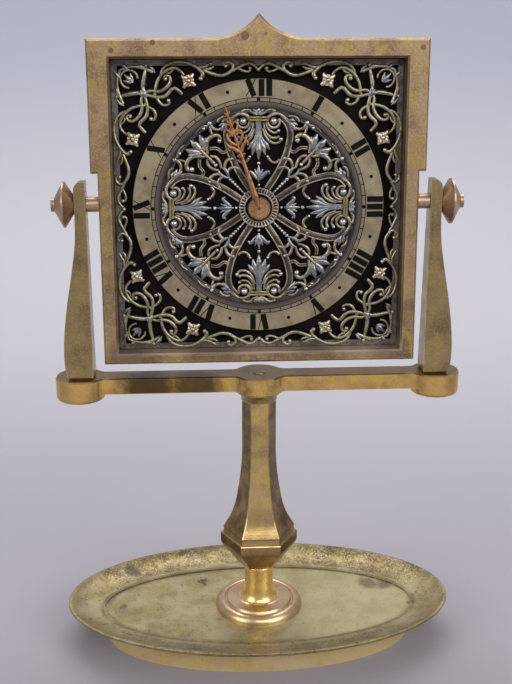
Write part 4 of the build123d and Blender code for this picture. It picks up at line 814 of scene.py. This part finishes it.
# Corner scrolls, drawn for the upper right corner
corner_scrolls = [
    ([(59.4, 45.8), (61.0, 50.2), (61.6, 55.2), (60.2, 60.2)], [1.0, 0.75, 0.7, 0.6]),
    ([(50.4, 49.4), (50.4, 54.0), (49.6, 58.4), (48.9, 61.4)], [0.7, 1.15, 0.95, 0.4]),
    ([(48.9, 61.2), (51.4, 61.8), (53.8, 61.4)], [0.5, 0.95, 0.3]),
    (
        [(45.2, 49.6), (44.8, 53.4), (43.2, 57.0), (40.1, 60.0), (36.6, 61.0), (33.6, 59.4), (32.4, 57.6)],
        [0.65, 0.75, 0.8, 0.8, 0.75, 0.65, 0.5],
    ),
    (
        [(43.0, 57.4), (41.4, 61.0), (38.1, 63.1), (32.6, 63.6)]
        + [(28.4, 62.2), (25.8, 60.4), (24.3, 58.4), (25.0, 56.8)],
        [0.5, 0.7, 0.8, 0.8, 0.8, 0.85, 1.0, 1.0],
    ),
    (
        [(49.6, 50.6), (47.4, 51.4), (43.7, 51.1), (40.1, 52.9)]
        + [(38.4, 55.8), (39.2, 57.7), (40.9, 57.4), (40.8, 56.2)],
        [0.6, 0.75, 0.85, 0.9, 0.8, 0.7, 0.6, 0.5],
    ),
    (
        [(50.0, 50.0), (44.2, 48.7), (40.6, 49.3), (36.8, 52.5), (35.0, 51.4), (33.4, 49.9)],
        [0.7, 0.85, 0.9, 0.9, 0.85, 0.75],
    ),
    (
        [(46.0, 50.0), (44.7, 48.6), (43.3, 46.3), (41.5, 45.3), (39.2, 45.8), (38.9, 47.2)],
        [0.5, 0.65, 0.7, 0.7, 0.65, 0.55],
    ),
    (
        [(24.2, 60.2), (20.4, 58.7), (16.4, 57.8), (12.6, 59.2)]
        + [(11.0, 61.4), (12.2, 63.4), (14.4, 63.2), (14.8, 61.8)],
        [0.75, 0.85, 0.9, 0.85, 0.75, 0.7, 0.6, 0.5],
    ),
    ([(11.6, 59.6), (7.6, 61.8), (4.2, 63.0), (1.6, 61.8), (0.6, 60.6)], [0.65, 0.8, 0.8, 0.7, 0.55]),
    ([(26.6, 61.2), (23.8, 61.4), (21.4, 62.6), (20.0, 63.2)], [0.65, 0.75, 0.65, 0.3]),
    ([(23.4, 60.4), (20.8, 60.8), (19.4, 61.6)], [0.5, 0.65, 0.3]),
    ([(8.6, 60.6), (6.0, 59.6), (4.0, 59.6), (3.2, 60.6)], [0.55]),
    ([(36.6, 61.0), (38.6, 59.0), (40.0, 58.8)], [0.4, 0.5, 0.3]),
]
BUD_PLACE = (56.4, 56.4)
BUD_RADIUS = 3.8
bud_loop = []
for step in range(-5, 6):
    dx, dy = turn_point((BUD_RADIUS, 0), 45 + 27 * step)
    bud_loop.append((BUD_PLACE[0] + dx, BUD_PLACE[1] + dy))
corner_strands = quarter_turns(both_flanks(corner_scrolls) + [(bud_loop, [0.55])])
on_fret(cast_strands("corner_scrolls", corner_strands, FRET_LEVEL), corner_plating, "spandrel_plate")

# Flat border of the corner scrolls, just inside the opening
BORDER_WIDE = 2.6
BORDER_REACH = (OPENING[0] - 0.2, OPENING[1] - 0.25)
border_bars = []
border_length = 2 * (BORDER_REACH[0] - BORDER_WIDE)
for side in (-1, 1):
    border_bars.append((side * (BORDER_REACH[0] - BORDER_WIDE / 2), 0, 0, BORDER_WIDE, 2 * BORDER_REACH[1]))
    border_bars.append((0, side * (BORDER_REACH[1] - BORDER_WIDE / 2), 0, border_length, BORDER_WIDE))
on_fret(flat_marks("fret_border", border_bars, [], [], FRET_LEVEL - 0.45, 0.4), border_plating)


def flower_petal(reach, angle, shares):
    """Straight petal of the square flower, through the given shares of its reach."""
    dx, dy = turn_point((reach, 0), angle)
    return [FLOWER_PLACE] + [(FLOWER_PLACE[0] + part * dx, FLOWER_PLACE[1] + part * dy) for part in shares]


# Square flowers with four long and four short petals, then buds and beads
FLOWER_PLACE = (30.6, 55.6)
FLOWER_TURN = 35
LONG_PETAL = 3.7
SHORT_PETAL = 2.4
square_flower = []
for quarter in range(4):
    petal_angle = FLOWER_TURN + 90 * quarter
    square_flower.append((flower_petal(LONG_PETAL, petal_angle, (0.55, 1)), [1.0, 1.3, 0.6]))
    square_flower.append((flower_petal(SHORT_PETAL, petal_angle + 45, (1,)), [1.0, 0.9]))
square_flowers = quarter_turns(both_flanks(square_flower))
on_fret(cast_strands("corner_flowers", square_flowers, FRET_LEVEL + 0.3, flatten=0.6), flower_plating)
corner_buds = both_flanks(
    [
        ([(54.8, 55.4), (55.3, 57.2), (55.7, 58.8)], [0.6, 0.85, 0.25]),
        ([(49.6, 49.8), (50.2, 51.6), (50.4, 53.6)], [0.9, 1.0, 0.3]),
        ([(60.4, 57.0), (61.8, 58.4), (62.6, 60.0)], [0.4, 0.85, 0.2]),
        ([(47.6, 61.8), (46.0, 60.6), (45.0, 58.8)], [0.3, 0.8, 0.2]),
    ]
)
corner_buds.append(([(54.8, 54.8), (56.6, 56.6), (58.5, 58.5)], [0.6, 1.2, 0.25]))
corner_buds.append(([(51.6, 51.6), (50.2, 50.2), (48.8, 48.8)], [0.3, 1.3, 0.4]))
corner_buds = quarter_turns(corner_buds)
on_fret(cast_strands("corner_buds", corner_buds, FRET_LEVEL + 0.4, flatten=0.6), leaf_plating)
MIDDLE_BEAD = (0, 60.4, 1.0)
corner_places = [(40.6, 56.4, 1.0), (39.4, 47.2, 0.95), (14.2, 61.9, 0.95), (3.6, 60.8, 0.85)]
corner_places += [(25.2, 56.6, 1.0), (*FLOWER_PLACE, 1.3), (62.2, 48.8, 0.8)]
corner_places += [(y, x, radius) for x, y, radius in corner_places]
corner_beads = []
for quarter in range(4):
    corner_beads += placed([MIDDLE_BEAD, *corner_places], 90 * quarter)
on_fret(cast_beads("corner_beads", corner_beads, FRET_LEVEL + 0.4), flower_plating)

# Numerals, half-hour dots and minute track in black on the numeral ring
NUMERALS = ("XII", "I", "II", "III", "IIII", "V", "VI", "VII", "VIII", "IX", "X", "XI")
NUMERAL_LOW = 48.9
NUMERAL_HIGH = 56.2
THICK = 2.6
THIN = 0.45
# Room that a letter takes, and its strokes: bottom and top beside the letter's middle, and width
ADVANCE = {"I": 3.4, "V": 5.8, "X": 6.0}
STROKES = {
    "I": ((0, 0, THICK),),
    "V": ((0, -1.5, THICK), (0.2, 2.2, THIN)),
    "X": ((1.4, -1.4, THICK), (-2.1, 2.1, THIN)),
}
DOT_HEIGHT = 52.4
DOT_RADIUS = 0.8
TICK_HEIGHT = 47.55
TICK_LENGTH = 1.3
HOUR_TICK = 1.5
MINUTE_TICK = 0.4
TRACK_LINES = ((46.5, 46.85), (48.2, 48.55))


def stroke(hour, bottom, top, width):
    """Straight stroke of a numeral between its bottom and top places, seen from the centre."""
    rise = NUMERAL_HIGH - NUMERAL_LOW
    angle = math.degrees(math.atan2(top - bottom, rise))
    x, y = turn_point(((bottom + top) / 2, NUMERAL_LOW + rise / 2), -30 * hour)
    across = width * math.cos(math.radians(angle))
    return (x, y, -30 * hour - angle, across, math.hypot(rise, top - bottom))


bars = []
discs = []
for hour, numeral in enumerate(NUMERALS):
    at = -sum(ADVANCE[letter] for letter in numeral) / 2
    for letter in numeral:
        middle = at + ADVANCE[letter] / 2
        bars += [stroke(hour, middle + bottom, middle + top, width) for bottom, top, width in STROKES[letter]]
        at += ADVANCE[letter]
    discs.append((*turn_point((0, DOT_HEIGHT), -30 * hour - 15), DOT_RADIUS))
for minute in range(60):
    wide = HOUR_TICK if minute % 5 == 0 else MINUTE_TICK
    bars.append((*turn_point((0, TICK_HEIGHT), -6 * minute), -6 * minute, wide, TICK_LENGTH))
laid(flat_marks("numerals", bars, discs, TRACK_LINES, RING_FACE, 0.05), enamel, "head", "chapter_metal")

# Minute hand: slender stem, a cross, an openwork cluster and a trefoil tip; the hour hand lies under it
HAND_ANGLE = 18.4
MINUTE_EYE = 4.2
HOUR_EYE = 3.2
hand_sides = [
    ([(0.5, 26.4), (2.0, 28.4), (3.9, 30.2), (4.9, 32.4)], [1.0, 0.9, 0.7, 0.35]),
    ([(3.9, 30.2), (4.6, 29.0), (4.0, 28.0)], [0.5, 0.45, 0.3]),
    (
        [(0.4, 29.4), (2.2, 31.2), (3.3, 33.4), (2.7, 35.4), (1.2, 35.2), (1.0, 33.6)],
        [0.7, 0.65, 0.6, 0.55, 0.5, 0.45],
    ),
    ([(0.3, 34.6), (1.8, 36.2), (2.7, 38.0), (1.8, 39.4), (0.6, 38.6)], [0.55, 0.55, 0.5, 0.45, 0.4]),
    ([(0.2, 36.8), (1.6, 34.6), (3.8, 33.8)], [0.4, 0.45, 0.35]),
    ([(0.4, 24.7), (1.2, 25.1), (1.8, 24.7)], [0.5, 0.5, 0.35]),
    ([(0.2, 39.4), (1.1, 40.6), (0.8, 41.6), (0.1, 41.8)], [0.4]),
    ([(0.1, 43.2), (0.9, 43.9), (1.3, 44.5)], [0.45, 0.45, 0.3]),
]
hand_path = both_sides(hand_sides)
hand_path.append(([(0, 4.4), (0, 12.0), (0, 20.0), (0, 27.5)], [1.6, 1.2, 0.8, 0.65]))
hand_path.append(([(0, 27.0), (0, 33.0), (0, 39.0)], [0.6, 0.45, 0.45]))
hand_path.append(([(0, 38.8), (0, 43.0), (0, 46.0), (0, 48.8)], [0.5, 0.5, 0.35, 0.12]))
minute_strands = turned(hand_path, HAND_ANGLE)
minute_strands.append((round_path(MINUTE_EYE), [0.7]))
minute_piece = cast_strands("minute_openwork", minute_strands, MINUTE_HAND_LEVEL, flatten=0.45, fineness=6)
laid(minute_piece, hand_gilding, "minute_train", "hand_metal", "minute_hand")
root_path = turned([([(0, 0.9), (0, 3.0), (0, 5.0)], [0.8, 1.15, 1.45])], HAND_ANGLE)
root_piece = cast_strands("hand_root", root_path, COLLET_FACE, flatten=0.25)
laid(root_piece, hand_gilding, "minute_train", "hand_metal")
hour_path = both_sides([([(0.3, 23.6), (0.9, 24.0), (1.3, 23.7)], [0.4, 0.4, 0.3])])
hour_path.append(([(0, 3.6), (0, 12.0), (0, 20.0), (0, 26.4)], [1.2, 0.9, 0.6, 0.15]))
hour_strands = turned(hour_path, HAND_ANGLE)
hour_strands.append((round_path(HOUR_EYE), [0.65]))
hour_piece = cast_strands("hour_openwork", hour_strands, HOUR_HAND_LEVEL, flatten=0.4, fineness=6)
laid(hour_piece, hand_gilding, "hour_train", "hand_metal", "hour_hand")

# Turned face of the collet in a dark tone: outline, a painted shadow line round its edge, ring of dots and
# the pin that holds the hands
COLLET_DOTS = 24
COLLET_DOT_REACH = 4.3
COLLET_DOT = 0.2
COLLET_PIN = (0, 0, 0.65)
COLLET_RINGS = ((4.75, 5.15), (2.4, 2.55))
collet_dots = []
for dot in range(COLLET_DOTS):
    collet_dots.append((*turn_point((COLLET_DOT_REACH, 0), dot * 360 / COLLET_DOTS), COLLET_DOT))
collet_dots.append(COLLET_PIN)
collet_piece = flat_marks("collet_face", [], collet_dots, COLLET_RINGS, COLLET_FACE, 0.06)
laid(collet_piece, collet_shadow, "minute_train", "hand_metal")

# Flush pins in the face of the case
PINS = ((-45.4, 71.3, 1.2), (-63.1, 68.1, 1.2), (-6.2, 74.0, 1.8), (2.8, 74.9, 0.6), (70.7, 69.2, 1.2))
PIN_DEPTH = 0.3
PIN_LENGTH = 0.34
pin_piece = flat_marks("case_pins", [], PINS, [], CASE_FACE - PIN_DEPTH, PIN_LENGTH)
laid(pin_piece, pin_brass, "head", "aged_brass")

# Hexagonal baluster with crisp edges and a flat to the front: height, size across the flats
SECTIONS = (
    (39.2, 18.4), (39.8, 19.3), (41.5, 21.2), (43.2, 23.2), (44.8, 25.0), (46.4, 26.4),
    (46.9, 28.8), (48.2, 30.4), (49.6, 31.9), (51.0, 32.8), (55.2, 33.0), (55.8, 32.3),
    (55.9, 30.4), (58.2, 30.0), (58.6, 30.8), (59.4, 30.0), (61.4, 27.9), (63.1, 26.1),
    (64.7, 24.6), (66.3, 23.3), (68.0, 22.2), (71.2, 20.4), (74.5, 19.1), (77.7, 18.2),
    (82.0, 17.0), (87.0, 15.8), (93.0, 14.8), (100.0, 14.3), (125.5, 14.2),
)
EDGE_WEAR = 0.3
corner_reach = MM / math.sqrt(3)
foot_height, foot_flats = SECTIONS[0]
bpy.ops.object.select_all(action="DESELECT")
bpy.ops.mesh.primitive_circle_add(
    vertices=6,
    radius=foot_flats * corner_reach,
    fill_type="NGON",
    location=(0, 0, foot_height * MM),
    rotation=(0, 0, math.radians(30)),
)
column = edit_new("baluster")
for (low, inner), (high, outer) in zip(SECTIONS, SECTIONS[1:]):
    bpy.ops.mesh.extrude_region_move(TRANSFORM_OT_translate={"value": (0, 0, (high - low) * MM)})
    bpy.ops.transform.resize(value=(outer / inner, outer / inner, 1), center_override=(0, 0, high * MM))
close_edit()
bevel = column.modifiers.new("edge_wear", "BEVEL")
bevel.width = EDGE_WEAR * MM
bevel.segments = 1
bevel.limit_method = "ANGLE"
bevel.angle_limit = math.radians(40)
bpy.ops.object.modifier_apply(modifier="edge_wear")
bpy.ops.object.shade_smooth_by_angle(angle=math.radians(14))
column.data.materials.append(column_brass)
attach(column, "stand")
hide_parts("column")

# Turned neck: quarter-round flange, a groove, a raised disc, a trumpet, a neck and a top bead
# Its profile is given by radius and height, and each round by its reach in both
BORE = 3.1
TRAY_LEVEL = 14.8
FLANGE_RADIUS = 17.5
FLANGE_ROUND = (4.1, 4.2)
TRUMPET_FOOT = (10.8, 19.5)
TRUMPET_ROUND = (3.8, 9.0)
NECK_TOP = 39.1
FLANGE_TOP = 19.6
profile = [(BORE, TRAY_LEVEL)]
for step in range(10):
    turn = math.radians(10 * step)
    outward = FLANGE_ROUND[0] * math.cos(turn)
    upward = FLANGE_ROUND[1] * math.sin(turn)
    profile.append((FLANGE_RADIUS + outward, TRAY_LEVEL + upward))
profile += [(17.1, 18.8), (16.8, 18.2), (16.4, 18.2), (16.1, 18.8), (15.6, 19.3), TRUMPET_FOOT]
for step in range(1, 10):
    turn = math.radians(10 * step)
    inward = TRUMPET_ROUND[0] * math.sin(turn)
    upward = TRUMPET_ROUND[1] * (1 - math.cos(turn))
    profile.append((TRUMPET_FOOT[0] - inward, TRUMPET_FOOT[1] + upward))
profile += [(7.0, 36.8), (7.6, 37.1), (7.9, 37.8), (7.6, 38.5), (7.0, NECK_TOP), (BORE, NECK_TOP)]
bpy.ops.object.select_all(action="DESELECT")
bpy.ops.mesh.primitive_circle_add(vertices=96, radius=BORE * MM, location=(0, 0, TRAY_LEVEL * MM))
neck = edit_new("turned_neck")
for (inner, low), (outer, high) in zip(profile, profile[1:]):
    bpy.ops.mesh.extrude_edges_move(TRANSFORM_OT_translate={"value": (0, 0, (high - low) * MM)})
    bpy.ops.transform.resize(value=(outer / inner, outer / inner, 1), center_override=(0, 0, high * MM))
bpy.ops.mesh.extrude_edges_move(TRANSFORM_OT_translate={"value": (0, 0, (TRAY_LEVEL - NECK_TOP) * MM)})
bpy.ops.mesh.select_all(action="SELECT")
bpy.ops.mesh.remove_doubles(threshold=SAME_PLACE * MM)
close_edit()
bpy.ops.object.shade_smooth_by_angle(angle=math.radians(35))
neck.data.materials.append(neck_brass)
neck.data.materials.append(flange_brass)
for face in neck.data.polygons:
    face.material_index = 1 if face.center.z < FLANGE_TOP * MM else 0
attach(neck, "stand")
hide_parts("column_foot")

# Studio: pale paper that sweeps up behind, soft lamps and the photograph's camera
PAPER_SIDE = 16.0
PAPER_BACK = 0.85
PAPER_HEIGHT = 2.2
PAPER_SWEEP = 0.45
HAZE_START = 0.85
HAZE_END = 2.0
AIR = "#d2d0d4"
AIR_LIGHT = 0.6
NEARLY = 0.01
bpy.ops.object.select_all(action="DESELECT")
bpy.ops.mesh.primitive_plane_add(size=PAPER_SIDE, location=(0, PAPER_BACK - PAPER_SIDE / 2, 0))
floor = bpy.context.view_layer.objects.active
floor.name = "studio_floor"
bpy.ops.object.transform_apply()
for edge in floor.data.edges:
    edge.select = all(floor.data.vertices[v].co.y > PAPER_BACK - NEARLY for v in edge.vertices)
for vertex in floor.data.vertices:
    vertex.select = vertex.co.y > PAPER_BACK - NEARLY
for face in floor.data.polygons:
    face.select = False
bpy.ops.object.mode_set(mode="EDIT")
bpy.ops.mesh.select_mode(type="EDGE")
bpy.ops.mesh.extrude_edges_move(TRANSFORM_OT_translate={"value": (0, 0, PAPER_HEIGHT)})
bpy.ops.object.mode_set(mode="OBJECT")
sweep = floor.modifiers.new("sweep", "BEVEL")
sweep.width = PAPER_SWEEP
sweep.segments = 24
bpy.ops.object.modifier_apply(modifier="sweep")
bpy.ops.object.shade_smooth()
# Matt grey paper with painted shade: paler towards the back and close by, darker and bluer on the wall
studio_paper, paper_tree, paper_shader, paper_place = new_finish("studio_paper")
paper_axes = add(paper_tree, "SeparateXYZ", {0: paper_place})
depth_share = ramp(paper_tree, paper_axes.outputs["Y"], -0.1, 0.5)
paper_tone = blend(paper_tree, depth_share, "#9c979e", "#bab8be")
# Painted pool of light: a paler band close in front, out of view, for the metal to reflect
near_share = ramp(paper_tree, paper_axes.outputs["Y"], -0.16, -0.36)
paper_tone = blend(paper_tree, near_share, paper_tone, "#b6b2b4")
height_share = ramp(paper_tree, paper_axes.outputs["Z"], 0.02, 0.3)
paper_tone = blend(paper_tree, height_share, paper_tone, "#a2a4b0")
# Far from the object the paper turns black and glows with the tone and strength of the air, a painted glow,
# so that its ends don't show
away = flat_reach(paper_tree, paper_place)
haze = ramp(paper_tree, away, HAZE_START, HAZE_END)
paper_tone = blend(paper_tree, haze, paper_tone, "#000000")
glow = times(paper_tree, haze, AIR_LIGHT)
plug(paper_tree, paper_shader, {"Base Color": paper_tone, "Roughness": 0.8, "Specular IOR Level": 0.1})
plug(paper_tree, paper_shader, {"Emission Color": AIR, "Emission Strength": glow})
floor.data.materials.append(studio_paper)


def soft_lamp(name, place, aim, size, power):
    """Rectangular soft lamp that points at a place on the object."""
    lamp = bpy.data.lights.new(name, "AREA")
    lamp.shape = "RECTANGLE"
    lamp.size = size[0]
    lamp.size_y = size[1]
    lamp.energy = power
    item = bpy.data.objects.new(name, lamp)
    item.location = place
    item.rotation_euler = (Vector(aim) - Vector(place)).to_track_quat("-Z", "Y").to_euler()
    bpy.context.scene.collection.objects.link(item)


soft_lamp("top_lamp", (0.0, 0.55, 1.3), (0, 0.5, 0.0), (1.3, 0.7), 13.0)
soft_lamp("key_lamp", (0.9, -0.95, 0.85), (0, 0, 0.17), (0.9, 0.9), 10.0)
soft_lamp("fill_lamp", (-1.1, -0.8, 0.75), (0, 0, 0.17), (0.9, 0.9), 7.0)
soft_lamp("front_lamp", (0.05, -0.88, 0.7), (0, 0, 0.1), (0.45, 0.2), 1.8)

world = bpy.data.worlds.new("studio_air")
world.use_nodes = True
plug(world.node_tree, world.node_tree.nodes["Background"], {"Color": AIR, "Strength": AIR_LIGHT})
bpy.context.scene.world = world

# The photograph's camera, as fitted to the object: lens and place, looking down and a little to the right
CAMERA_LENS = 55.02
CAMERA_PLACE = (-0.0279, -0.4634, 0.3021)
LOOK_DOWN = math.radians(17.74)
LOOK_RIGHT = math.radians(3.27)
camera_data = bpy.data.cameras.new("photo_camera")
camera_data.lens = CAMERA_LENS
camera_data.sensor_width = 36.0
camera_data.clip_start = 0.01
camera = bpy.data.objects.new("photo_camera", camera_data)
camera.location = CAMERA_PLACE
camera.rotation_euler = (math.pi / 2 - LOOK_DOWN, 0, -LOOK_RIGHT)
bpy.context.scene.collection.objects.link(camera)
bpy.context.scene.camera = camera
bpy.context.scene.view_settings.view_transform = "Standard"
